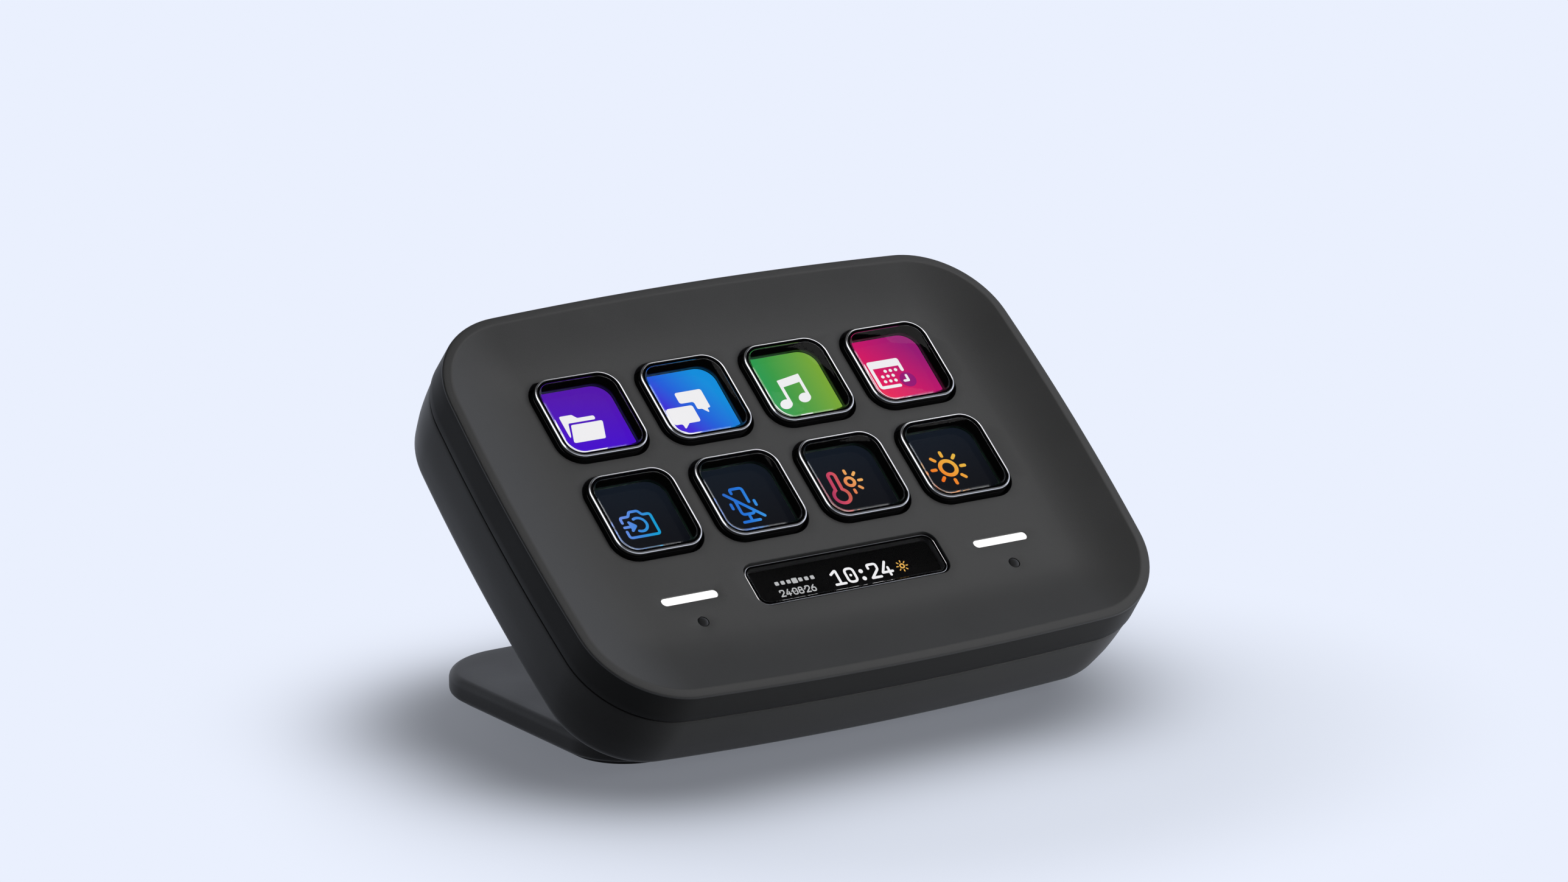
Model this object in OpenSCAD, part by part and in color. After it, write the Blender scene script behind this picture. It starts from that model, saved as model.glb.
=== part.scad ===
// Desktop macro keypad: a tilted housing with eight clear picture keys, an information
// window, two light bars with touch points, and a foot bracket with a rubber pad.
// The housing is drawn in its own face frame: X right, Y up along the face, Z out of the
// face, with the origin in the middle of the raised lip's plane. in_face() tilts that
// frame back and stands it on the floor, where Z is 0 and +Y points to the rear.

/* [Housing] */
// Width of the face, across the middle of its sides
body_w = 106.8; // [100:0.2:116]
// Height of the face, up its middle
body_h = 77.6; // [72:0.2:84]
// Depth of the housing, from the lip to the flat back
body_d = 20; // [19.4:0.2:24]
// Radius of the four corners of the outline
corner_r = 15.4; // [13:0.1:17]
// Radius of the slow bow of the left and right sides
side_bow_r = 412; // [300:2:700]
// Radius of the slow bow of the top and bottom sides
end_bow_r = 736; // [500:2:1200]
// How far the back edge's round lies inside the outline
back_inset = 0.9; // [0.5:0.05:1.4]
// Radius of the round between the sides and the flat back
back_round = 4; // [3:0.1:4.5]
// Wall of both shells
wall = 1.7; // [1.4:0.1:2]
// Depth of the line where the two shells meet, from the lip
parting_d = 6; // [5.6:0.1:6.6]
// Tilt of the face from level, in degrees
tilt = 38; // [30:1:45]
// Height of the housing's lowest point above the floor
floor_gap = 0.8; // [0.6:0.1:1.6]

/* [Face] */
// Width of the flat raised lip round the face
lip_w = 1.55; // [1.2:0.05:2]
// Chamfer on the outer edge of the lip
lip_chamfer = 0.3; // [0.2:0.05:0.5]
// Depth of the dished face below the lip
dish_d = 2.45; // [2:0.05:2.6]
// Width of the shadow groove between the two shells
groove_w = 0.25; // [0.15:0.05:0.4]
// Depth of the shadow groove between the two shells
groove_d = 0.45; // [0.3:0.05:0.6]

/* [Keys] */
// Distance between neighbouring keys
key_pitch = 19.5; // [19.2:0.1:20]
// Number of key columns
key_columns = 4; // [4]
// Number of key rows
key_rows = 2; // [2]
// Height of the middle of the key block on the face
key_block_y = 7.95; // [7:0.05:9]
// Width of a key cap
cap_w = 15.6; // [14.8:0.1:15.9]
// Corner radius of a key cap
cap_r = 3.5; // [3:0.1:4]
// Depth of the cap's top below the lip
cap_top_d = 1.25; // [0.9:0.05:1.6]
// Thickness of the cap's clear top plate
cap_plate_t = 1; // [0.8:0.05:1.2]
// Chamfer round the cap's top
cap_chamfer = 0.35; // [0.2:0.05:0.5]
// Wall of the black skirt under the clear plate
skirt_wall = 0.7; // [0.6:0.05:0.9]
// Gap between a cap and its opening in the face
cap_gap = 0.65; // [0.4:0.05:0.7]
// How far the skirt's flange reaches under the face, past the opening
flange_grip = 0.65; // [0.45:0.05:0.7]
// Thickness of the skirt's flange
flange_t = 0.7; // [0.6:0.05:0.8]
// Gap between the flange and the underside of the face
flange_gap = 0.15; // [0.1:0.05:0.2]
// Travel of a key
key_travel = 1; // [0.8:0.05:1]
// Gap left under a fully pressed key
press_gap = 0.1; // [0.1:0.05:0.2]
// Width of the lit picture under each key
picture_w = 14.8; // [14.4:0.1:15]
// Corner radius of the lit picture
picture_r = 3; // [2.5:0.1:3.5]

/* [Information window] */
// Height of the window's middle on the face
info_y = -18.3; // [-19:0.05:-17.8]
// Width of the window's lens
info_w = 35.7; // [32:0.1:38]
// Height of the window's lens
info_h = 7.8; // [7:0.1:8.6]
// Corner radius of the lens
info_r = 1.9; // [1.5:0.1:2.5]
// Gap round the lens
info_gap = 0.25; // [0.15:0.05:0.35]
// How far the lens lies below the face
info_sink = 0.35; // [0.2:0.05:0.5]
// Thickness of the lens
info_lens_t = 1; // [0.8:0.05:1.1]

/* [Light bars and touch points] */
// Distance of a light bar from the middle of the face
light_x = 29.25; // [28:0.05:33]
// Length of a light bar
light_l = 10.2; // [8:0.1:12]
// Width of a light bar
light_w = 1.46; // [1.2:0.02:2]
// Clearance of a light bar or touch point in its opening
light_clear = 0.08; // [0.05:0.01:0.12]
// Height of the touch points on the face
touch_y = -23.05; // [-24:0.05:-22.5]
// Diameter of a touch point
touch_dia = 1.75; // [1.4:0.05:2.2]

/* [Foot] */
// Width of the foot plate
foot_w = 91.5; // [84:0.5:96]
// Thickness of the foot plate
foot_t = 3.7; // [3.2:0.1:4]
// How far the foot plate ends short of the housing's rearmost point
foot_short = 0; // [0:0.5:10]
// Corner radius at the rear of the foot plate
foot_back_r = 13; // [10:0.5:15]
// Corner radius at the front of the foot plate
foot_front_r = 10; // [8:0.5:12]
// Radius of the foot plate's top edge
foot_top_round = 1.7; // [1:0.1:2]
// Radius of the foot plate's bottom edge
foot_low_round = 0.9; // [0.5:0.1:1]
// Width of the tab that holds the foot to the back
tab_w = 66; // [60:1:70]
// Height of the tab up the back
tab_h = 27; // [25:0.5:30]
// Thickness of the tab
tab_t = 2.4; // [2:0.1:3]
// Thickness of the rubber pad that shows under the foot plate
pad_t = 0.6; // [0.5:0.1:1]
// Depth of the pad's seat in the foot plate
pad_seat = 0.5; // [0.3:0.1:0.8]
// Margin between the pad and the edge of the foot plate
pad_margin = 1.6; // [1.2:0.1:3]

/* [Socket] */
// Height of the socket's middle on the back
port_y = 16; // [12:0.5:20]
// Width of the socket's shell
port_w = 8.94; // [8.94]
// Height of the socket's shell
port_h = 3.26; // [3.26]
// Wall of the socket's shell
port_wall = 0.3; // [0.3]
// Depth of the finger recess round the socket
port_recess = 1; // [0.6:0.1:1.2]

/* [Circuit boards and fasteners] */
// Thickness of the main circuit board
board_t = 1.2; // [1:0.1:1.6]
// Width of the main circuit board
board_w = 80; // [76:1:82]
// Height of the main circuit board
board_h = 52; // [48:1:54]
// Height of the pillars that carry the main board
pillar_h = 5.4; // [4.5:0.1:6]
// Radius of the hole that a screw cuts its thread in
screw_hole_r = 0.9; // [0.8:0.05:1]
// Radius of a screw's head
screw_head_r = 1.9; // [1.7:0.1:2.2]
// Height of a screw's head
screw_head_h = 1.1; // [1:0.1:1.4]
// Length of thread that a foot screw has in its post
screw_bite = 2; // [1.5:0.1:2.4]
// Width of the ribbon from the display to the main board
lcd_ribbon_w = 20; // [12:1:24]
// Width of the ribbon from the information display to the main board
info_ribbon_w = 12; // [8:1:14]
// Length that a ribbon runs past its plug before it turns
ribbon_reach = 3.4; // [3:0.1:4]

/* [Hidden] */
$fn = 96;
eps = 0.01;
far = 57;

// Outline: four slow arcs and four corner arcs that meet tangentially
half_w = body_w/2;
half_h = body_h/2;
side_off = side_bow_r - half_w;
end_off = end_bow_r - half_h;
// The corner arc's centre is as far from each slow arc's centre as tangency asks
reach_a = side_bow_r - corner_r;
reach_b = end_bow_r - corner_r;
centres_apart = norm([side_off, end_off]);
along = (reach_a*reach_a - reach_b*reach_b + centres_apart*centres_apart)/(2*centres_apart);
across = sqrt(reach_a*reach_a - along*along);
toward = [side_off, -end_off]/centres_apart;
corner_c = [-side_off + toward[0]*along - toward[1]*across,
            toward[1]*along + toward[0]*across];
side_angle = atan2(corner_c[1], corner_c[0] + side_off);
end_angle = atan2(corner_c[0], corner_c[1] + end_off);
arc_n = 12;
bow_n = 3;
quarter_n = arc_n + 2*bow_n;
ring_n = 4*quarter_n;

// Levels in the face frame, measured down from the lip
face_z = -dish_d;
under_z = face_z - wall;
part_z = -parting_d;
back_z = -body_d;
floor_z = back_z + wall;
dish_w = corner_r - lip_w - 0.4;
inner_off = -wall - groove_d;
flange_top = under_z - flange_gap;
flange_low = flange_top - flange_t;
mat_top = flange_low - key_travel - press_gap;
mat_t = 0.25;
switch_t = 0.4;
lcd_top = mat_top - mat_t - switch_t;
lcd_t = 1.6;
lcd_low = lcd_top - lcd_t;
tray_t = 0.5;
tray_low = lcd_low - tray_t;
plug_low = lcd_top + key_travel + press_gap + 0.05;
lens_top = face_z - info_sink;
lens_low = lens_top - info_lens_t;
info_t = 1.6;
info_low = under_z - info_t;
board_back = floor_z + pillar_h;
board_front = board_back + board_t;

// Places on the face
key_x = [for (n = [0:key_columns*key_rows - 1])
    (n % key_columns - (key_columns - 1)/2)*key_pitch];
key_y = [for (n = [0:key_columns*key_rows - 1])
    key_block_y + ((key_rows - 1)/2 - floor(n/key_columns))*key_pitch];
opening_w = cap_w + 2*cap_gap;
opening_r = cap_r + cap_gap;
flange_w = opening_w + 2*flange_grip;
plug_w = cap_w - 2*skirt_wall;
plug_r = cap_r - skirt_wall;
panel_w = (key_columns - 1)*key_pitch + picture_w + 4.6;
panel_h = (key_rows - 1)*key_pitch + picture_w + 3.6;
tray_boss_x = panel_w/2 + 3.2;
tray_boss_y = panel_h/2 - 5;
boss_r = 2.4;
case_boss = [corner_c[0] + 6.2, corner_c[1] + 6.2];
case_post_off = norm([6.2, 6.2]) - corner_r - boss_r - 0.3;
case_seat = back_z + 3;
pillar_x = board_w/2 - 4;
pillar_y = board_h/2 - 4;
touch_board_w = 15;
touch_board_h = 11;
touch_board_t = 0.8;
touch_board_y = (info_y + touch_y)/2;
light_foot_t = 0.8;
touch_top = under_z - light_foot_t;
touch_low = touch_top - touch_board_t;
stake_r = 0.7;
stake_x = touch_board_w/2 - 1.4;
light_sink = 0.12;
touch_proud = 0.12;
touch_foot_r = 1.6;
led_size = [3, 1.3, 0.55];
plug_t = 1.2;
lcd_plug_y = -4;
info_plug_y = -15;
ribbon_t = 0.2;
// Packages on the main board's front: x, y, width, height and thickness
chips = [
    [-14, 6, 10, 10, 1], [4, 8, 8, 6, 1], [16, 8, 5, 4, 0.9], [24, -4, 4, 4, 1.2],
    [-26, -8, 3.2, 2.5, 0.8], [-26, 4, 6, 5, 1.1],
    [0, lcd_plug_y, lcd_ribbon_w + 2, 3.2, plug_t], [0, info_plug_y, info_ribbon_w + 2, 3, plug_t]
];

// Where the face frame stands: its origin's height and its distance behind the middle
round_y = half_h - back_inset - back_round;
round_z = body_d - back_round;
face_up = round_y*sin(tilt) + round_z*cos(tilt) + back_round + floor_gap;
rear_reach = round_y*cos(tilt) + round_z*sin(tilt) + back_round;
front_reach = half_h*cos(tilt) - lip_chamfer*sin(tilt);
face_back = (front_reach - rear_reach)/2;

// Foot, in the standing frame: it starts where the flat back begins
plate_low = pad_t;
plate_top = pad_t + foot_t;
foot_rear = face_back + rear_reach - foot_short;
foot_front = face_back - round_y*cos(tilt) + body_d*sin(tilt);
tab_low = -round_y;
foot_screw_x = tab_w/2 - 8;
// The lower row of screw heads clears the plate, whose top meets them at this height
plate_meets = (plate_top - face_up - (back_z - tab_t - screw_head_h)*cos(tilt))/sin(tilt);
foot_screw_y = [plate_meets + screw_head_r + 1, tab_low + tab_h - 6];

// A point of the first quarter of the outline, moved outward by a distance
function quarter_point(n, out) = n < bow_n
    ? let (a = side_angle*n/bow_n) [-side_off, 0] + (side_bow_r + out)*[cos(a), sin(a)]
    : n <= bow_n + arc_n
    ? let (a = side_angle + (90 - side_angle - end_angle)*(n - bow_n)/arc_n)
        corner_c + (corner_r + out)*[cos(a), sin(a)]
    : let (a = 90 - end_angle + end_angle*(n - bow_n - arc_n)/bow_n)
        [0, -end_off] + (end_bow_r + out)*[cos(a), sin(a)];

// A point of the whole outline
function outline_point(k, out) =
    let (q = floor(k/quarter_n), j = k % quarter_n,
         p = quarter_point(q % 2 == 0 ? j : quarter_n - j, out))
    [p[0]*(q == 1 || q == 2 ? -1 : 1), p[1]*(q > 1 ? -1 : 1)];

// A point of the foot plate's outline: rear corners first, then front corners
function foot_point(k, out) =
    let (q = floor(k/(arc_n + 1)), a = 90*q + 90*(k % (arc_n + 1))/arc_n,
         r = q < 2 ? foot_back_r : foot_front_r,
         x = (q == 0 || q == 3 ? 1 : -1)*(foot_w/2 - r),
         y = q < 2 ? foot_rear - r : foot_front + r)
    [x + (r + out)*cos(a), y + (r + out)*sin(a)];

// Height of the dished face at a distance outside the outline (so inside is negative)
function dish_z(out) = -dish_d*sin(90*min(1, max(0, (-out - lip_w)/dish_w)));

// Faces of a solid made of equal rings of points, from the lowest ring to the highest
function ring_faces(n, rings) = concat(
    [[for (k = [0:n - 1]) k]],
    [for (r = [0:rings - 2], k = [0:n - 1])
        [r*n + (k + 1) % n, r*n + k, (r + 1)*n + k, (r + 1)*n + (k + 1) % n]],
    [[for (k = [n - 1:-1:0]) (rings - 1)*n + k]]);

// A solid whose rings follow the housing's outline: [distance outside it, level]
module outline_solid(rings) {
    polyhedron(
        points = [for (r = rings, k = [0:ring_n - 1])
            let (p = outline_point(k, r[0])) [p[0], p[1], r[1]]],
        faces = ring_faces(ring_n, len(rings)));
}

module in_face() {
    translate([0, face_back, face_up]) rotate([tilt, 0, 0]) children();
}

module round_rect(w, h, r) {
    square([w - 2*r, h], center = true);
    square([w, h - 2*r], center = true);
    for (x = [-1, 1], y = [-1, 1]) translate([x*(w/2 - r), y*(h/2 - r)]) circle(r);
}

// A prism of a rounded rectangle between two levels
module slab(w, h, r, low, high) {
    translate([0, 0, low]) linear_extrude(high - low) round_rect(w, h, r);
}

module disc(r, low, high) {
    translate([0, 0, low]) cylinder(r = r, h = high - low);
}

module at_keys() {
    for (n = [0:key_columns*key_rows - 1]) translate([key_x[n], key_y[n], 0]) children();
}

// The same thing at the four mirrored places of a point
module at_four(x, y) {
    for (mx = [-1, 1], my = [-1, 1]) translate([mx*x, my*y, 0]) children();
}

module front_shell() {
    draft = 0.2;
    outside = concat(
        [[draft - groove_d, part_z], [draft - groove_d, part_z + groove_w], [draft, part_z + groove_w],
         [0, -lip_chamfer], [-lip_chamfer, 0], [-lip_w, 0]],
        [for (n = [1:5]) let (out = -lip_w - dish_w*n/5) [out, dish_z(out)]]);
    hollow = concat(
        [[inner_off, part_z - 1], [inner_off, -wall - 0.6]],
        [for (n = [0:3]) let (out = -lip_w - 1.15 - (dish_w - 1.25)*n/3) [out, dish_z(out) - wall]]);
    color("#3b3b3d") in_face() {
        difference() {
            outline_solid(outside);
            outline_solid(hollow);
            at_keys() slab(opening_w, opening_w, opening_r, under_z - 1, 1);
            translate([0, info_y, 0])
                slab(info_w + 2*info_gap, info_h + 2*info_gap, info_r + info_gap, under_z - 1, 1);
            for (side = [-1, 1]) {
                translate([side*light_x, info_y, 0])
                    slab(light_l + 2*light_clear, light_w + 2*light_clear,
                         light_w/2 + light_clear - eps, under_z - 1, 1);
                translate([side*light_x, touch_y, 0])
                    disc(touch_dia/2 + light_clear, under_z - 1, 1);
            }
        }
        // Posts for the display tray
        translate([0, key_block_y, 0]) at_four(tray_boss_x, tray_boss_y) difference() {
            disc(boss_r, lcd_low, face_z - 0.4);
            disc(screw_hole_r, lcd_low - 1, under_z - 0.6);
        }
        // Posts that the case screws cut into
        at_four(case_boss[0], case_boss[1]) difference() {
            disc(boss_r, part_z - 1.5, dish_z(case_post_off) - 0.4);
            disc(screw_hole_r, part_z - 2.5, under_z - 0.4);
        }
        // Stakes that hold the touch boards
        for (side = [-1, 1], x = [-1, 1])
            translate([side*light_x + x*stake_x, touch_board_y, 0])
                disc(stake_r, touch_low - 0.5, face_z - 0.4);
    }
}

module back_shell() {
    centre = -back_inset - back_round;
    outside = concat(
        [for (a = [0:22.5:90]) [centre + back_round*sin(a), back_z + back_round*(1 - cos(a))]],
        [[-0.35, -8.6], [0, part_z - groove_w], [-groove_d, part_z - groove_w], [-groove_d, part_z]]);
    hollow = [
        [centre, floor_z], [centre + 1.4, floor_z + 0.7], [-wall - back_inset, floor_z + back_round - wall],
        [inner_off, part_z - 1], [inner_off, part_z + 1]
    ];
    color("#38383a") in_face() {
        difference() {
            outline_solid(outside);
            outline_solid(hollow);
            // Recess and slot for the socket
            translate([0, port_y, 0]) {
                slab(port_w + 6, port_h + 5, (port_h + 5)/2 - eps, back_z - 1, back_z + port_recess);
                slab(port_w + 0.2, port_h + 0.2, port_h/2 + 0.09, back_z - 1, floor_z + 1);
            }
            at_four(case_boss[0], case_boss[1]) disc(screw_head_r + 0.2, back_z - 1, case_seat);
            for (y = foot_screw_y, side = [-1, 1]) translate([side*foot_screw_x, y, 0])
                disc(screw_hole_r, back_z - 1, floor_z + 1);
        }
        // Tubes that the case screws pass through
        at_four(case_boss[0], case_boss[1]) difference() {
            union() {
                disc(screw_head_r + 1.1, floor_z - 0.2, case_seat + 1);
                disc(boss_r, floor_z, part_z - 1.5);
            }
            disc(screw_head_r + 0.2, floor_z - 1, case_seat);
            disc(screw_hole_r + 0.25, case_seat - 1, part_z);
        }
        // Pillars for the main board
        at_four(pillar_x, pillar_y) difference() {
            disc(boss_r, floor_z - 0.2, board_back);
            disc(screw_hole_r, floor_z + 1, board_back + 1);
        }
        // Posts that the foot's screws cut into
        for (y = foot_screw_y, side = [-1, 1]) translate([side*foot_screw_x, y, 0])
            difference() {
                disc(boss_r, floor_z - 0.2, floor_z + 3.2);
                disc(screw_hole_r, floor_z - 1, floor_z + 2.6);
            }
    }
}

// Section of a key cap's chamfered edge
module cap_edge() {
    polygon([
        [-cap_r, -cap_top_d - cap_plate_t], [0, -cap_top_d - cap_plate_t],
        [0, -cap_top_d - cap_chamfer], [-cap_chamfer, -cap_top_d], [-cap_r, -cap_top_d]
    ]);
}

module key_cap(n) {
    plate_low_z = -cap_top_d - cap_plate_t;
    color([0.75, 0.8, 0.85, 0.5]) in_face() translate([key_x[n - 1], key_y[n - 1], 0]) {
        for (turn = [0:3]) rotate([0, 0, 90*turn]) {
            translate([cap_w/2 - cap_r, cap_w/2 - cap_r, 0])
                rotate_extrude(angle = 90) translate([cap_r, 0]) cap_edge();
            translate([cap_w/2, cap_w/2 - cap_r, 0]) rotate([90, 0, 0])
                linear_extrude(cap_w - 2*cap_r) cap_edge();
        }
        translate([0, 0, plate_low_z]) linear_extrude(cap_plate_t)
            square(cap_w - 2*cap_r, center = true);
        slab(plug_w, plug_w, plug_r, plug_low, plate_low_z);
    }
}

module key_skirt(n) {
    color("#0c0c0d") in_face() translate([key_x[n - 1], key_y[n - 1], 0])
        difference() {
            union() {
                slab(cap_w, cap_w, cap_r, flange_low, -cap_top_d - cap_plate_t);
                slab(flange_w, flange_w, opening_r + flange_grip, flange_low, flange_top);
            }
            slab(plug_w, plug_w, plug_r, flange_low - 1, 0);
        }
}

// Frame-shaped sheet over the whole key block, with a window at each key
module window_sheet(low, high, margin) {
    difference() {
        translate([0, key_block_y, 0]) slab(panel_w + margin, panel_h + margin, 1.5, low, high);
        at_keys() slab(picture_w + 0.2, picture_w + 0.2, picture_r + 0.1, low - 1, high + 1);
    }
}

module dome_mat() {
    color("#1a1a1a") in_face() window_sheet(mat_top - mat_t, mat_top, 0);
}

module switch_board() {
    color("#101a14") in_face() window_sheet(lcd_top, lcd_top + switch_t, 0);
}

module lcd_panel() {
    color("#16181c") in_face() translate([0, key_block_y, 0])
        slab(panel_w, panel_h, 0.8, lcd_low, lcd_top);
}

// Pressed tray behind the display, with an ear at each corner and a slot for the ribbon
module lcd_tray() {
    color("#8b8d90") in_face() translate([0, key_block_y, 0]) difference() {
        union() {
            slab(panel_w, panel_h, 1, tray_low, lcd_low);
            for (my = [-1, 1]) translate([0, my*tray_boss_y, 0])
                slab(2*tray_boss_x + 2*boss_r, 2*boss_r, boss_r - eps, tray_low, lcd_low);
        }
        at_four(tray_boss_x, tray_boss_y) disc(screw_hole_r + 0.2, tray_low - 1, lcd_low + 1);
        slab(30, 12, 1, tray_low - 1, lcd_low + 1);
    }
}

// A pan-head screw: its head's seat at z 0, its shank towards +Z
module screw(shank) {
    disc(screw_head_r, -screw_head_h, 0);
    disc(screw_hole_r, -eps, shank);
}

module tray_screws() {
    color("#b9bcc0") in_face() translate([0, key_block_y, 0])
        at_four(tray_boss_x, tray_boss_y) translate([0, 0, tray_low]) screw(3);
}

module info_lens() {
    color([0.7, 0.75, 0.8, 0.5]) in_face() translate([0, info_y, 0])
        slab(info_w, info_h, info_r, lens_low, lens_top);
}

module info_gasket() {
    color("#101010") in_face() translate([0, info_y, 0]) difference() {
        slab(info_w, info_h, info_r, under_z, lens_low);
        slab(info_w - 1.6, info_h - 1.6, info_r - 0.8, under_z - 1, lens_low + 1);
    }
}

module info_display() {
    color("#131417") in_face() translate([0, info_y, 0])
        slab(info_w + 4, info_h + 3.4, 0.8, info_low, under_z);
}

module light_bar(side) {
    color("white") in_face() translate([side*light_x, info_y, 0]) difference() {
        union() {
            slab(light_l, light_w, light_w/2 - eps, under_z, face_z - light_sink);
            slab(light_l + 1.6, light_w + 1.6, 0.8, touch_top, under_z);
        }
        // Pocket over the lamp on the board below
        slab(led_size[0] + 0.3, led_size[1] + 0.3, 0.2, touch_top - 1, touch_top + led_size[2] + 0.1);
    }
}

module touch_dot(side) {
    color("#0a0a0a") in_face() translate([side*light_x, touch_y, 0]) {
        disc(touch_dia/2, under_z, face_z + touch_proud);
        disc(touch_foot_r, touch_top, under_z);
    }
}

module touch_board(side) {
    color("#15301f") in_face() translate([side*light_x, touch_board_y, 0]) difference() {
        slab(touch_board_w, touch_board_h, 0.8, touch_low, touch_top);
        for (x = [-1, 1]) translate([x*stake_x, 0, 0])
            disc(stake_r + 0.05, touch_low - 1, touch_top + 1);
    }
}

module light_leds() {
    color("#f4f1df") in_face() for (side = [-1, 1])
        translate([side*light_x - led_size[0]/2, info_y - led_size[1]/2, touch_top]) cube(led_size);
}

module main_board() {
    color("#12402a") in_face() difference() {
        slab(board_w, board_h, 3, board_back, board_front);
        at_four(pillar_x, pillar_y) disc(screw_hole_r + 0.2, board_back - 1, board_front + 1);
    }
}

module board_chips() {
    color("#1d1e20") in_face() for (c = chips)
        translate([c[0] - c[2]/2, c[1] - c[3]/2, board_front]) cube([c[2], c[3], c[4]]);
}

module board_screws() {
    color("#b9bcc0") in_face()
        at_four(pillar_x, pillar_y) translate([0, 0, board_front]) rotate([180, 0, 0]) screw(4.6);
}

module usb_shell() {
    r = port_h/2 - eps;
    color("#a8abae") in_face() translate([0, port_y, 0]) difference() {
        slab(port_w, port_h, r, back_z + port_recess, board_back);
        slab(port_w - 2*port_wall, port_h - 2*port_wall, r - port_wall,
             back_z, board_back - 1.2);
    }
}

module usb_tongue() {
    color("#1a1a1c") in_face() translate([0, port_y, 0])
        slab(6.7, 0.7, 0.3, back_z + port_recess + 0.6, board_back - 1.2);
}

// How far a strip's edge lies from a bend in its middle line, square to the bend's bisector
function bend_edge(points, n, d) =
    let (last = len(points) - 1,
         a = points[min(n + 1, last)] - points[min(n, last - 1)],
         b = points[max(n, 1)] - points[max(n - 1, 0)],
         na = [-a[1], a[0]]/norm(a), nb = [-b[1], b[0]]/norm(b))
    points[n] + d*(na + nb)/(1 + na*nb);

// A flat cable through a list of [y, z] points
module ribbon(points, w) {
    last = len(points) - 1;
    translate([-w/2, 0, 0]) rotate([90, 0, 90]) linear_extrude(w) polygon(concat(
        [for (n = [0:last]) bend_edge(points, n, ribbon_t/2)],
        [for (n = [last:-1:0]) bend_edge(points, n, -ribbon_t/2)]));
}

module lcd_ribbon() {
    high = lcd_low - ribbon_t/2;
    low = board_front + plug_t + ribbon_t/2;
    level = tray_low - 0.5;
    color("#9a6a2c") in_face() ribbon([
        [key_block_y + ribbon_reach, high], [key_block_y - 0.6*ribbon_reach, high],
        [key_block_y - 1.3*ribbon_reach, level], [lcd_plug_y - 0.9*ribbon_reach, level],
        [lcd_plug_y - 1.1*ribbon_reach, (level + low)/2], [lcd_plug_y - 0.7*ribbon_reach, low],
        [lcd_plug_y + 0.3*ribbon_reach, low]], lcd_ribbon_w);
}

module info_ribbon() {
    high = info_low - ribbon_t/2;
    low = board_front + plug_t + ribbon_t/2;
    color("#9a6a2c") in_face() ribbon([
        [info_y + 0.6*ribbon_reach, high], [info_y - 0.7*ribbon_reach, high],
        [info_y - ribbon_reach, high - 0.3*ribbon_reach],
        [info_y - 0.9*ribbon_reach, low + 0.5*ribbon_reach],
        [info_plug_y - ribbon_reach, low], [info_plug_y + 0.3*ribbon_reach, low]], info_ribbon_w);
}

module case_screws() {
    color("#2a2a2c") in_face() at_four(case_boss[0], case_boss[1])
        translate([0, 0, case_seat]) screw(under_z - 0.8 - case_seat);
}

// The foot plate, with both its edges rounded
module foot_plate() {
    n = 4*(arc_n + 1);
    rings = concat(
        [for (a = [0:30:90]) [-foot_low_round*(1 - sin(a)), plate_low + foot_low_round*(1 - cos(a))]],
        [for (a = [0:22.5:90]) [-foot_top_round*(1 - cos(a)), plate_top - foot_top_round*(1 - sin(a))]]);
    polyhedron(
        points = [for (r = rings, k = [0:n - 1])
            let (p = foot_point(k, r[0])) [p[0], p[1], r[1]]],
        faces = ring_faces(n, len(rings)));
}

// A rectangle with its own radius at the front corners and at the rear corners
module foot_shape(margin) {
    w = foot_w - 2*margin;
    front = foot_front + margin;
    rear = foot_rear - margin;
    rf = foot_front_r - margin;
    rr = foot_back_r - margin;
    translate([-w/2 + rf, front]) square([w - 2*rf, rear - rr - front]);
    translate([-w/2 + rr, front + rf]) square([w - 2*rr, rear - rf - front]);
    translate([-w/2, front + rf]) square([w, rear - rr - front - rf]);
    for (side = [-1, 1]) {
        translate([side*(w/2 - rf), front + rf]) circle(rf);
        translate([side*(w/2 - rr), rear - rr]) circle(rr);
    }
}

module foot() {
    color("#434345") difference() {
        union() {
            foot_plate();
            in_face() translate([0, tab_low + tab_h/2 - 5, 0])
                slab(tab_w, tab_h + 10, 6, back_z - tab_t, back_z + 1);
        }
        // Room for the housing, whose flat back lies on the tab
        in_face() translate([-far, -far, back_z]) cube([2*far, 2*far, 9]);
        // Everything under the plate or in front of it
        translate([-far, foot_front - far, -far]) cube([2*far, 2*far, far + plate_low]);
        translate([-far, foot_front - far, -far]) cube([2*far, far, 2*far]);
        translate([0, 0, plate_low - 1]) linear_extrude(1 + pad_seat) foot_shape(pad_margin);
        in_face() for (y = foot_screw_y, side = [-1, 1]) translate([side*foot_screw_x, y, 0])
            disc(screw_hole_r + 0.2, back_z - tab_t - 1, back_z + 1);
    }
}

module foot_screws() {
    color("#2a2a2c") in_face() for (y = foot_screw_y, side = [-1, 1])
        translate([side*foot_screw_x, y, back_z - tab_t]) screw(tab_t + wall + screw_bite);
}

module foot_pad() {
    color("#1b1b1c") linear_extrude(pad_t + pad_seat) foot_shape(pad_margin);
}

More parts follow.
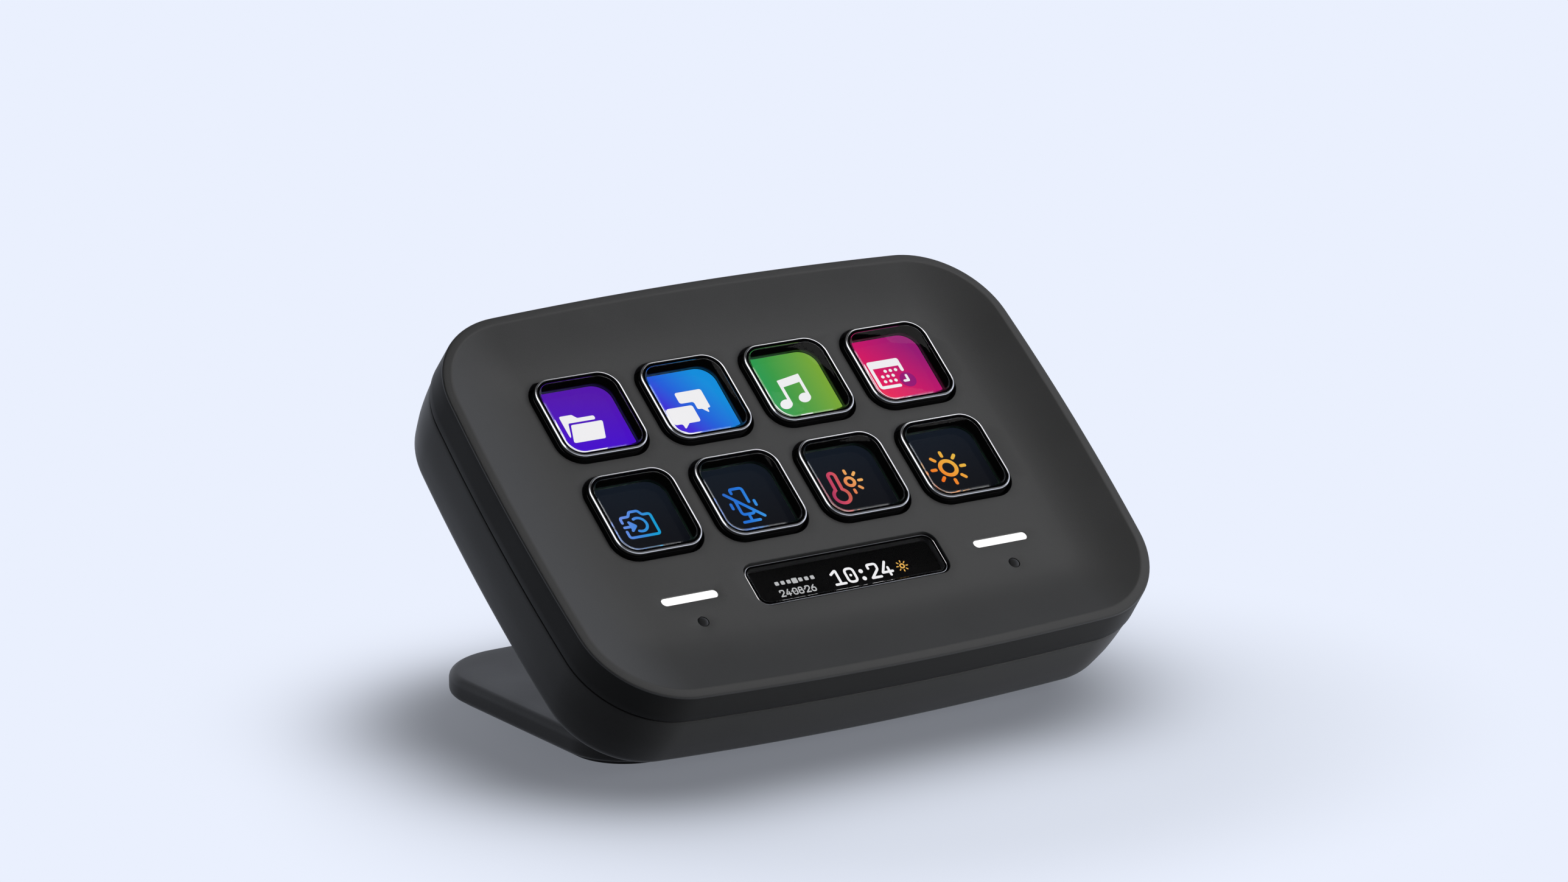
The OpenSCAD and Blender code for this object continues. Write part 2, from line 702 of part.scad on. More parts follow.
front_shell();
back_shell();
key_cap(1);  // key_cap_1
key_cap(2);  // key_cap_2
key_cap(3);  // key_cap_3
key_cap(4);  // key_cap_4
key_cap(5);  // key_cap_5
key_cap(6);  // key_cap_6
key_cap(7);  // key_cap_7
key_cap(8);  // key_cap_8
key_skirt(1);  // key_skirt_1
key_skirt(2);  // key_skirt_2
key_skirt(3);  // key_skirt_3
key_skirt(4);  // key_skirt_4
key_skirt(5);  // key_skirt_5
key_skirt(6);  // key_skirt_6
key_skirt(7);  // key_skirt_7
key_skirt(8);  // key_skirt_8
dome_mat();
switch_board();
lcd_panel();
lcd_tray();
tray_screws();
info_lens();
info_gasket();
info_display();
light_bar(-1);  // light_bar_left
light_bar(1);  // light_bar_right
touch_dot(-1);  // touch_dot_left
touch_dot(1);  // touch_dot_right
touch_board(-1);  // touch_board_left
touch_board(1);  // touch_board_right
light_leds();
main_board();
board_chips();
board_screws();
usb_shell();
usb_tongue();
lcd_ribbon();
info_ribbon();
case_screws();
foot();
foot_screws();
foot_pad();
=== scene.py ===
"""Looks of a desktop macro keypad: a dished face with clear picture keys, an information
window, light bars and touch points, in a tilted housing on a foot bracket."""

import bmesh
import bpy
import numpy as np
from mathutils import Matrix
from mathutils.geometry import delaunay_2d_cdt


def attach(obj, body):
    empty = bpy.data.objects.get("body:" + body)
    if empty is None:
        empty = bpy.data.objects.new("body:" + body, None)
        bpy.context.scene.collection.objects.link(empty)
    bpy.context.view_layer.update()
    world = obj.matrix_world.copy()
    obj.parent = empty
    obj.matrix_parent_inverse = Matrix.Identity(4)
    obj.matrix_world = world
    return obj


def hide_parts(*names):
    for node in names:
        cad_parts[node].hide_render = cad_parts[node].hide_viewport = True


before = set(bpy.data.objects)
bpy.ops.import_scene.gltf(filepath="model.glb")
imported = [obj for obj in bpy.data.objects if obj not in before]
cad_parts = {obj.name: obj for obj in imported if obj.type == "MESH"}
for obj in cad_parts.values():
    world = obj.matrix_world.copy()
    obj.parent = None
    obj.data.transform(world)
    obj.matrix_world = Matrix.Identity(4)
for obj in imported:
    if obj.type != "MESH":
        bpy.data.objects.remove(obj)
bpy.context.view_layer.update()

# ---------------------------------------------------------------- sizes, in millimetres
BODY_W, BODY_H, BODY_D = 106.8, 77.6, 20.0
CORNER_R, SIDE_BOW_R, END_BOW_R = 15.4, 412.0, 736.0
BACK_INSET, BACK_ROUND = 0.9, 4.0
WALL, PARTING = 1.7, 6.0
TILT = np.radians(38.0)
FLOOR_GAP = 0.8
LIP_W, LIP_ROUND, LIP_SLOPE, DISH_D = 1.55, 0.3, -0.05, 2.45
SWELL, GROOVE_TOP, FACE_ROLL = 0.2, -5.66, 0.10
DISH_W = CORNER_R - LIP_W - 0.4
SKIN_EDGE = -12.2
KEY_PITCH, KEY_ROW_MID = 19.5, 7.95
KEY_CENTRES = [((n % 4 - 1.5) * KEY_PITCH, KEY_ROW_MID + (0.5 - n // 4) * KEY_PITCH) for n in range(8)]
CAP_HALF, CAP_R, CAP_TOP, CAP_ROLL = 7.8, 3.5, -1.25, 0.3
CAP_LOW = CAP_TOP - 1.0
OPENING_HALF, OPENING_R = 8.45, 4.15
PLUG_HALF, PLUG_LOW = 7.1, -5.6
FLANGE_HALF, FLANGE_TOP, FLANGE_LOW = 9.1, -4.3, -5.0
PICTURE_HALF, PICTURE_R, PICTURE_Z = 7.4, 3.0, -6.75
MARK_Z = PICTURE_Z + 0.03
FACE_Z = -DISH_D
UNDER_Z = FACE_Z - WALL
BACK_Z = -BODY_D
FLOOR_Z = BACK_Z + WALL
INFO_Y, INFO_HALF, INFO_R = -18.3, (17.85, 3.9), 1.9
INFO_GAP = 0.25
LENS_TOP, LENS_LOW, LENS_ROLL = FACE_Z - 0.35, FACE_Z - 1.35, 0.16
LIGHT_X, LIGHT_HALF, LIGHT_CLEAR = 29.25, (5.1, 0.73), 0.08
LIGHT_TOP, LIGHT_ROLL, LIGHT_FOOT = FACE_Z - 0.12, 0.16, 0.8
TOUCH_Y, TOUCH_R, TOUCH_DOME, TOUCH_FOOT_R = -23.05, 0.875, 0.22, 1.6
TOUCH_TOP = UNDER_Z - 0.8
SEAT_Z = UNDER_Z - 0.01
SIDES = {"left": -1, "right": 1}
PORT_Y, PORT_HALF, PORT_RECESS, PORT_ROLL = 16.0, (4.47, 1.63), 1.0, 0.25
SCREW_HEAD_R, SCREW_R, SCREW_HEAD_H = 1.9, 0.9, 1.1
WELL_R, TUBE_R, CASE_SEAT = SCREW_HEAD_R + 0.2, 3.0, BACK_Z + 3
BORE_R, BORE_D, SCREW_END = 1.15, 1.5, UNDER_Z - 0.8
CONTACTS, CONTACT_PITCH = 12, 0.5
FLAT_EDGE = -6.2  # how far inside the outline the flat back ends
FOOT_W, FOOT_T, PAD_T, PAD_SEAT, PAD_MARGIN = 91.5, 3.7, 0.6, 0.5, 1.6
FOOT_BACK_R, FOOT_FRONT_R, FOOT_TOP_ROUND, FOOT_LOW_ROUND = 13.0, 10.0, 1.3, 0.9
FOOT_RIM = 3.0
TAB_HALF, TAB_LOW, TAB_H, TAB_T, TAB_R, TAB_ROLL, WEB_R = 33.0, -30.5, 27.0, 2.4, 6.0, 0.5, 1.3
TAB_SCREW_X, TAB_SCREW_Y = TAB_HALF - 8, 6.0
STRAIGHT = 0.01  # what stays straight between two corners of a long oval
FACE_STEP, BACK_STEP, FOOT_STEP = 1.7, 3.0, 2.0  # between free points of flat areas

ROUND_Y, ROUND_Z = BODY_H / 2 - BACK_INSET - BACK_ROUND, BODY_D - BACK_ROUND
FACE_UP = ROUND_Y * np.sin(TILT) + ROUND_Z * np.cos(TILT) + BACK_ROUND + FLOOR_GAP
REAR = ROUND_Y * np.cos(TILT) + ROUND_Z * np.sin(TILT) + BACK_ROUND
FRONT = BODY_H / 2 * np.cos(TILT) - LIP_ROUND * np.sin(TILT)
FACE_BACK = (FRONT - REAR) / 2
FOOT_FRONT = FACE_BACK - ROUND_Y * np.cos(TILT) + BODY_D * np.sin(TILT)
FOOT_REAR = FACE_BACK + REAR
MM = 0.001
GLOSS_SPREAD, CLEAR_IOR = 0.06, 1.49


def stand(points):
    """Face frame to row frame: turn about X by the tilt, then lift and set back."""
    p = np.asarray(points, float)
    y = FACE_BACK + p[:, 1] * np.cos(TILT) - p[:, 2] * np.sin(TILT)
    z = FACE_UP + p[:, 1] * np.sin(TILT) + p[:, 2] * np.cos(TILT)
    return np.stack([p[:, 0], y, z], 1)


def level(points):
    """Pieces that are drawn in the row frame already stay where they are."""
    return np.asarray(points, float)


# ---------------------------------------------------------------- curves as loops of points
def outline(out, arc_n=22, bow_n=9):
    """The housing's outline moved out by a distance: a slow arc, a corner arc and a slow arc
    fill one quarter, tangent to each other, and the other quarters mirror it."""
    side_off, end_off = SIDE_BOW_R - BODY_W / 2, END_BOW_R - BODY_H / 2
    a, b = np.radians(SIDE_ANGLE), np.radians(END_ANGLE)
    t = np.linspace(0, a, bow_n, endpoint=False)
    side = np.stack([-side_off + (SIDE_BOW_R + out) * np.cos(t), (SIDE_BOW_R + out) * np.sin(t)], 1)
    t = np.linspace(a, np.pi / 2 - b, arc_n, endpoint=False)
    corner = CORNER_C + (CORNER_R + out) * np.stack([np.cos(t), np.sin(t)], 1)
    t = np.linspace(np.pi / 2 - b, np.pi / 2, bow_n, endpoint=False)
    end = np.stack([(END_BOW_R + out) * np.cos(t), -end_off + (END_BOW_R + out) * np.sin(t)], 1)
    first = np.concatenate([side, corner, end])
    top = np.array([[0.0, BODY_H / 2 + out]])
    second = np.concatenate([top, first[:0:-1]]) * [-1, 1]
    half = np.concatenate([first, second])
    return np.concatenate([half, -half])


def corner_centre():
    """Centre of the corner arc, from its distances to the centres of both slow arcs."""
    a0, b0 = SIDE_BOW_R - BODY_W / 2, END_BOW_R - BODY_H / 2
    ra, rb = SIDE_BOW_R - CORNER_R, END_BOW_R - CORNER_R
    d = np.hypot(a0, b0)
    k = (ra * ra - rb * rb + d * d) / (2 * d)
    h = np.sqrt(ra * ra - k * k)
    return np.array([-a0 + k * a0 / d + h * b0 / d, -k * b0 / d + h * a0 / d])


CORNER_C = corner_centre()
CASE_BOSS = CORNER_C + 6.2
SIDE_ANGLE = np.degrees(np.arctan2(CORNER_C[1], CORNER_C[0] + SIDE_BOW_R - BODY_W / 2))
END_ANGLE = np.degrees(np.arctan2(CORNER_C[0], CORNER_C[1] + END_BOW_R - BODY_H / 2))


def out_of(x, y):
    """Signed distance outside the outline: to the corner arc within the corner's wedge,
    otherwise the greater of the distances to the slow arcs."""
    x, y = np.abs(x), np.abs(y)
    side = np.hypot(x + SIDE_BOW_R - BODY_W / 2, y) - SIDE_BOW_R
    end = np.hypot(x, y + END_BOW_R - BODY_H / 2) - END_BOW_R
    dx, dy = x - CORNER_C[0], y - CORNER_C[1]
    angle = np.degrees(np.arctan2(dy, dx))
    wedge = (angle > SIDE_ANGLE) & (angle < 90 - END_ANGLE)
    return np.where(wedge, np.hypot(dx, dy) - CORNER_R, np.maximum(side, end))


def face_curve():
    """Height of the face against the distance inside the outline: the slope is integrated.
    It falls outward a little on the lip, blends over the crease, then falls off as a cosine in the dish."""
    u = np.linspace(0, CORNER_R + 1, 800)
    dish = DISH_D * np.pi / 2 / DISH_W * np.cos(np.pi / 2 * np.clip((u - LIP_W) / DISH_W, 0, 1))
    t = np.clip((u - LIP_W + 0.35) / 0.7, 0, 1)
    slope = LIP_SLOPE + (dish - LIP_SLOPE) * t * t * (3 - 2 * t)
    slope = np.where(u > LIP_W + DISH_W, 0, slope)
    z = -np.concatenate([[0], np.cumsum((slope[1:] + slope[:-1]) / 2 * np.diff(u))])
    return u, z * DISH_D / -z[-1]


FACE_U, FACE_H = face_curve()


def face_at(out):
    """Height of the face at a signed distance outside the outline."""
    return np.interp(-np.asarray(out, float), FACE_U, FACE_H)


def round_rect(half_w, half_h, r, n=8, centre=(0.0, 0.0)):
    """A rounded rectangle, anticlockwise, with n steps a corner."""
    t = np.linspace(0, np.pi / 2, n + 1)
    quarter = [np.stack([r * np.cos(t + q), r * np.sin(t + q)], 1) for q in np.arange(4) * np.pi / 2]
    signs = [(1, 1), (-1, 1), (-1, -1), (1, -1)]
    parts = [q + [sx * (half_w - r), sy * (half_h - r)] for q, (sx, sy) in zip(quarter, signs)]
    return np.concatenate(parts) + centre


def circle(r, n=32, centre=(0.0, 0.0)):
    """A circle as n points, anticlockwise."""
    t = np.linspace(0, 2 * np.pi, n, endpoint=False)
    return np.stack([r * np.cos(t), r * np.sin(t)], 1) + centre


def four_corners(half_w, low, high, radii, out, n):
    """A rectangle between two heights, moved out by a distance, anticlockwise: each corner is a
    quarter arc with its own radius, and n steps long."""
    t = np.linspace(0, np.pi / 2, n + 1)
    parts = []
    for q, r in enumerate(radii):
        a = t + q * np.pi / 2
        x = half_w - r if q in (0, 3) else r - half_w
        y = high - r if q < 2 else low + r
        parts.append(np.stack([x + (r + out) * np.cos(a), y + (r + out) * np.sin(a)], 1))
    return np.concatenate(parts)


def arc(centre, r, start, end, n):
    """n + 1 points of an arc from one angle to another, in degrees."""
    t = np.radians(np.linspace(start, end, n + 1))
    return [(centre[0] + r * np.cos(a), centre[1] + r * np.sin(a)) for a in t]


def rolled_edge(r):
    """A quarter roll: how far each step still lies outward, and how deep it has gone."""
    return [(r * (1 - np.sin(a)), r * (1 - np.cos(a))) for a in np.radians(np.linspace(0, 90, 5))]


# ---------------------------------------------------------------- surfaces
class Skin:
    """Collects surfaces of one piece. A grid's rows run along a profile and its columns round
    a loop, so that column direction cross row direction points out of the material."""

    def __init__(self):
        self.points, self.faces, self.kinds, self.count = [], [], [], 0

    def add(self, points):
        """Takes up points and gives the number of the first."""
        points = np.asarray(points, float)
        self.points.append(points)
        self.count += len(points)
        return self.count - len(points)

    def grid(self, rows, kinds=0):
        """Quads between closed rows, of one material or of one for each step."""
        rows = [np.asarray(r, float) for r in rows]
        n = len(rows[0])
        start = self.add(np.concatenate(rows))
        kinds = [kinds] * (len(rows) - 1) if np.isscalar(kinds) else kinds
        col = np.arange(n)
        nxt = (col + 1) % n
        for r in range(len(rows) - 1):
            a, b = start + r * n, start + (r + 1) * n
            self.faces += np.stack([a + col, a + nxt, b + nxt, b + col], 1).tolist()
            self.kinds += [kinds[r]] * n

    def cap(self, loop, up=True, kind=0):
        """One flat face over a loop."""
        start = self.add(loop)
        index = list(range(start, start + len(loop)))
        self.faces.append(index if up else index[::-1])
        self.kinds.append(kind)

    def prism(self, rows, kinds=0, ends=0):
        """A grid with a flat face at both ends, the first turned down and the last up."""
        self.grid(rows, kinds)
        self.cap(rows[0], False, ends)
        self.cap(rows[-1], True, ends)

    def sheet(self, points, triangles, up=True):
        """Triangles over points."""
        start = self.add(points)
        tri = np.asarray(triangles) + start
        self.faces += (tri if up else tri[:, ::-1]).tolist()
        self.kinds += [0] * len(tri)

    def build(self, name, materials, body, place=stand, sharp=32.0, uv=None):
        """Makes the mesh in the row frame, joins coincident points, marks sharp edges, rides."""
        points = np.concatenate(self.points)
        mesh = bpy.data.meshes.new(name)
        mesh.from_pydata(place(points) * MM, [], self.faces)
        for m in materials:
            mesh.materials.append(m)
        mesh.polygons.foreach_set("material_index", np.array(self.kinds, np.int32))
        if uv is not None:
            layer = mesh.uv_layers.new(name="UVMap")
            corner = np.empty(len(mesh.loops), np.int32)
            mesh.loops.foreach_get("vertex_index", corner)
            layer.data.foreach_set("uv", uv(points)[corner].astype(np.float32).ravel())
        work = bmesh.new()
        work.from_mesh(mesh)
        bmesh.ops.remove_doubles(work, verts=work.verts, dist=2e-7)
        bmesh.ops.dissolve_degenerate(work, edges=work.edges, dist=1e-7)
        work.to_mesh(mesh)
        work.free()
        mesh.polygons.foreach_set("use_smooth", np.ones(len(mesh.polygons), bool))
        mesh.set_sharp_from_angle(angle=np.radians(sharp))
        piece = bpy.data.objects.new(name, mesh)
        bpy.context.scene.collection.objects.link(piece)
        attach(piece, body)
        return piece


def lift(loop, z):
    """A flat loop at a height, or at one height a point."""
    loop = np.asarray(loop, float)
    return np.column_stack([loop, np.broadcast_to(z, len(loop))])


def rings(make_loop, profile):
    """Rows of a grid: the loop at each profile point's distance outward, at its height."""
    return [lift(make_loop(out), z) for out, z in profile]


def fill(edge, holes, inside, step):
    """Triangles between an edge loop and hole loops, with a grid of points in between.
    inside(x, y) is below zero within the material, and gives the distance to its edge."""
    loops = [edge] + holes
    low, high = edge.min(0), edge.max(0)
    gx, gy = np.meshgrid(np.arange(low[0], high[0], step), np.arange(low[1], high[1], step))
    free = np.column_stack([gx.ravel(), gy.ravel()])
    free = free[inside(*free.T) < -0.55 * step]
    points = np.concatenate(loops + [free])
    edges, start = [], 0
    for loop in loops:
        n = len(loop)
        edges += [(start + i, start + (i + 1) % n) for i in range(n)]
        start += n
    made = delaunay_2d_cdt([tuple(p) for p in points], edges, [], 0, 1e-6)
    out, tri = np.array([tuple(p) for p in made[0]]), np.array(made[2])
    tri = tri[inside(*out[tri].mean(1).T) < 0]
    a, b, c = out[tri[:, 0]], out[tri[:, 1]], out[tri[:, 2]]
    turn = (b[:, 0] - a[:, 0]) * (c[:, 1] - a[:, 1]) - (b[:, 1] - a[:, 1]) * (c[:, 0] - a[:, 0])
    tri[turn < 0] = tri[turn < 0][:, ::-1]
    return out, tri


def past_rect(x, y, half_w, half_h, r, centre):
    """Signed distance outside a rounded rectangle."""
    qx = np.abs(x - centre[0]) - half_w + r
    qy = np.abs(y - centre[1]) - half_h + r
    return np.hypot(np.maximum(qx, 0), np.maximum(qy, 0)) + np.minimum(np.maximum(qx, qy), 0) - r


def hole(opening, grow=0.0):
    """Loop of an opening, which is its centre, half sizes, corner radius and steps a corner."""
    centre, half, r, n = opening
    return round_rect(half[0] + grow, half[1] + grow, r + grow, n, centre)


def past_hole(x, y, opening, grow):
    """Signed distance outside an opening that is grown by a distance."""
    centre, half, r = opening[:3]
    return past_rect(x, y, half[0] + grow, half[1] + grow, r + grow, centre)


# ---------------------------------------------------------------- materials
def shader(name):
    """A new material, its tree and its surface shader."""
    material = bpy.data.materials.new(name)
    material.use_nodes = True
    tree = material.node_tree
    return material, tree, tree.nodes["Principled BSDF"]


def wire(tree, made, values):
    """Fills sockets, named or numbered: a socket as value is linked, anything else is set."""
    for key, value in values.items():
        if isinstance(value, bpy.types.NodeSocket):
            tree.links.new(value, made.inputs[key])
        else:
            made.inputs[key].default_value = value


def node(tree, kind, *first, out=0, **values):
    """Output of a new node. Lower-case names are its settings and are made before its sockets
    are filled, the first ones in order and the others by name."""
    made = tree.nodes.new("ShaderNode" + kind)
    sockets = dict(enumerate(first))
    for key, value in values.items():
        if key.islower():
            setattr(made, key, value)
        else:
            sockets[key.replace("_", " ")] = value
    wire(tree, made, sockets)
    return made.outputs[out]


def ramp(tree, share, stops):
    """Colours blended between stops."""
    colour = node(tree, "ValToRGB", share)
    elements = colour.node.color_ramp.elements
    elements.remove(elements[1])
    for n, (at, stop) in enumerate(stops):
        element = elements[0] if n == 0 else elements.new(at)
        element.position = at
        element.color = (*stop, 1)
    return colour


def moulded(name, colour, roughness, grain=5200.0, bump=0.12, spread=0.10, metallic=0.0,
            depth=0.00004, coat=0.0, stretch=(1, 1, 1), level=0.5, cloud=90.0):
    """Fine-grained solid finish: two noises vary colour and gloss, a fine one dents the surface."""
    material, tree, surface = shader(name)
    place = node(tree, "TexCoord", out="Object")
    turned = node(tree, "Mapping", place, Rotation=(-TILT, 0, 0), Scale=stretch)
    fine = node(tree, "TexNoise", turned, Scale=grain, Detail=3.0, Roughness=0.6)
    broad = node(tree, "TexNoise", turned, Scale=cloud, Detail=2.0, Roughness=0.5)
    both = node(tree, "Math", fine, broad, operation="ADD")
    shade = node(tree, "MapRange", both, 0.6, 1.4, 1 - spread, 1 + spread)
    gloss = node(tree, "MapRange", broad, To_Min=roughness - GLOSS_SPREAD, To_Max=roughness + GLOSS_SPREAD)
    wire(tree, surface, {
        "Base Color": node(tree, "VectorMath", colour, operation="SCALE", Scale=shade),
        "Roughness": gloss, "Metallic": metallic, "Specular IOR Level": level, "Coat Weight": coat})
    if bump:
        dent = node(tree, "Bump", Strength=bump, Distance=depth, Height=fine)
        wire(tree, surface, {"Normal": dent})
    return material


def clear(name):
    """Clear plastic with a coating against reflections, and the faintest haze in it."""
    material, tree, surface = shader(name)
    place = node(tree, "TexCoord", out="Object")
    haze = node(tree, "TexNoise", place, Scale=400.0, Detail=2.0)
    wire(tree, surface, {
        "Base Color": ramp(tree, haze, [(0.0, (0.975, 0.98, 0.985)), (1.0, (1, 1, 1))]),
        "Roughness": 0.0, "Transmission Weight": 1.0, "IOR": CLEAR_IOR, "Specular Tint": (0, 0, 0, 1)})
    return material


def linear(colour):
    """A screen colour, given as six hexadecimal digits, as linear light."""
    c = np.array([int(colour[i:i + 2], 16) for i in (0, 2, 4)]) / 255
    return np.where(c < 0.04045, c / 12.92, ((c + 0.055) / 1.055) ** 2.4)


def lit(name, stops, angle=0.0, strength=1.0):
    """A lit picture area: a ramp of colours along a direction of the piece's own UV map."""
    material, tree, surface = shader(name)
    place = node(tree, "UVMap", uv_map="UVMap")
    turned = node(tree, "Mapping", place, vector_type="TEXTURE", Location=(0.5, 0.5, 0),
                  Rotation=(0, 0, np.radians(angle)))
    along = node(tree, "Math", node(tree, "SeparateXYZ", turned, out="X"), 0.5, operation="ADD")
    wire(tree, surface, {
        "Emission Color": ramp(tree, along, [(at, linear(colour)) for at, colour in stops]),
        "Emission Strength": strength, "Base Color": (0.002, 0.002, 0.002, 1), "Roughness": 0.5,
        "Specular IOR Level": 0.0})
    return material


charcoal = moulded("charcoal_grain", (0.032, 0.032, 0.0323), 0.40, bump=0.25, level=0.30)
charcoal_side = moulded("charcoal_side", (0.031, 0.031, 0.0313), 0.50, bump=0.22, level=0.05)
# The back shell's own charcoal, painted nearly twice as light as the face's as painted light on its sides
# and lower edge
charcoal_back_painted_light = moulded("charcoal_back_painted_light", (0.060, 0.060, 0.0605), 0.42, bump=0.22, level=0.07)
coated = moulded("foot_coat", (0.068, 0.068, 0.069), 0.46, grain=4200, bump=0.25, level=0.16)
# Rim metals on the clear edges of keys and lens: the white one mirrors the lamps and is also a painted
# highlight, the darker one on the outer side is painted shade
rim_painted_highlight = moulded("polished_rim_painted_highlight", (0.94, 0.94, 0.95), 0.15, bump=0.0, spread=0.03, metallic=1.0)
rim_painted_shade = moulded("rim_painted_shade", (0.34, 0.34, 0.345), 0.22, bump=0.0, spread=0.05, metallic=1.0)
wall_black = moulded("polished_wall", (0.006, 0.006, 0.0065), 0.16, grain=2600, bump=0.25,
                     depth=0.00002, cloud=500, level=0.3)
well_black = moulded("well_black", (0.0015, 0.0015, 0.0017), 0.5, bump=0.0, level=0.0)
clear_cap = clear("clear_cap")
clear_lens = clear("clear_lens")
touch_black = moulded("touch_gloss", (0.022, 0.022, 0.0225), 0.34, bump=0.0)
screw_black = moulded("black_oxide", (0.02, 0.02, 0.022), 0.36, metallic=0.9, grain=9000, bump=0.08)
steel = moulded("satin_steel", (0.55, 0.56, 0.58), 0.28, metallic=1.0, stretch=(1, 12, 1), grain=2500,
                bump=0.05)
gold = moulded("contact_gold", (0.83, 0.62, 0.28), 0.25, metallic=1.0, bump=0.0)
board = moulded("board_lacquer", (0.012, 0.06, 0.035), 0.35, grain=3000, bump=0.1, coat=0.3)
package = moulded("chip_package", (0.014, 0.014, 0.015), 0.55, grain=8000, bump=0.1)
film = moulded("amber_film", (0.42, 0.16, 0.03), 0.3, bump=0.05)
rubber = moulded("pad_rubber", (0.018, 0.018, 0.019), 0.75, grain=2600, bump=0.5, level=0.3)
phosphor = moulded("lamp_phosphor", (0.85, 0.72, 0.30), 0.4, bump=0.0)
glow_white = lit("light_guide", [(0.0, "FFFFFF"), (1.0, "FFFFFF")], strength=1.15)

for name, material in {
        "dome_mat": rubber, "switch_board": board, "lcd_panel": touch_black, "lcd_tray": steel,
        "tray_screws": steel, "info_gasket": rubber, "info_display": well_black,
        "touch_board_left": board, "touch_board_right": board, "light_leds": phosphor,
        "main_board": board, "board_chips": package, "board_screws": steel,
        "lcd_ribbon": film, "info_ribbon": film, "foot_pad": rubber}.items():
    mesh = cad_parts[name].data
    mesh.materials.clear()
    mesh.materials.append(material)


# ---------------------------------------------------------------- housing
def front_face():
    """Front shell: the profile goes out under the face, down inside the side, round the
    shadow groove, up the side, over the lip and into the dish. The dish's middle is filled
    with triangles between the openings, and each opening's edge is rolled down to the underside."""
    skin = Skin()
    under = [(o, float(face_at(o)) - WALL) for o in np.linspace(SKIN_EDGE, -2.8, 8)]
    side = [(-2.15, -2.3), (-2.15, -PARTING), (-0.25, -PARTING), (-0.25, -5.76), (0.08, -5.76),
            (0.16, -5.73), (SWELL, GROOVE_TOP)]
    side += [(SWELL * (1 - t), GROOVE_TOP - t * (GROOVE_TOP + LIP_ROUND)) for t in (0.25, 0.5, 0.75)]
    edge = arc((-LIP_ROUND, -LIP_ROUND), LIP_ROUND, 0, 90, 6)
    inner = (np.linspace(-0.6, -1.1, 3), np.linspace(-1.2, -2.1, 10), np.linspace(-2.5, SKIN_EDGE, 16))
    face = [(o, float(face_at(o))) for o in np.concatenate(inner)]
    rows = under + side + edge + face
    band_from, band_to = len(under) + 4, len(under) + len(side)
    skin.grid(rings(outline, rows), [int(band_from <= r < band_to) for r in range(len(rows) - 1)])

    openings = [(c, (OPENING_HALF, OPENING_HALF), OPENING_R, 10) for c in KEY_CENTRES]
    window = (INFO_HALF[0] + INFO_GAP, INFO_HALF[1] + INFO_GAP)
    openings.append(((0, INFO_Y), window, INFO_R + INFO_GAP, 8))
    bar, dot = LIGHT_HALF[1] + LIGHT_CLEAR, TOUCH_R + LIGHT_CLEAR
    for x in (-LIGHT_X, LIGHT_X):
        openings.append(((x, INFO_Y), (LIGHT_HALF[0] + LIGHT_CLEAR, bar), bar - STRAIGHT, 6))
        openings.append(((x, TOUCH_Y), (dot, dot), dot - 0.1 * STRAIGHT, 6))
    for up in (True, False):
        rolls = [up * FACE_ROLL / (1 if opening[1][0] > 6 else 3) for opening in openings]

        def inside(x, y, rolls=rolls):
            d = out_of(x, y) - SKIN_EDGE
            for opening, roll in zip(openings, rolls):
                d = np.maximum(d, -past_hole(x, y, opening, roll))
            return d

        holes = [hole(opening, roll) for opening, roll in zip(openings, rolls)]
        p, tri = fill(outline(SKIN_EDGE), holes, inside, FACE_STEP)
        z = face_at(out_of(*p.T))
        skin.sheet(np.column_stack([p, z if up else z - WALL]), tri, up)
        if up:
            for opening, roll in zip(openings, rolls):
                rows = []
                for out, drop in rolled_edge(roll):
                    loop = hole(opening, out)
                    z = face_at(out_of(*loop.T))
                    rows.append(lift(loop, z - drop))
                skin.grid(rows + [lift(loop, z - WALL)])
    piece = skin.build("front_face", [charcoal, charcoal_side], "housing")
    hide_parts("front_shell")


def four(x, y):
    """A place in all four quarters."""
    return [(sx * x, sy * y) for sx in (1, -1) for sy in (1, -1)]


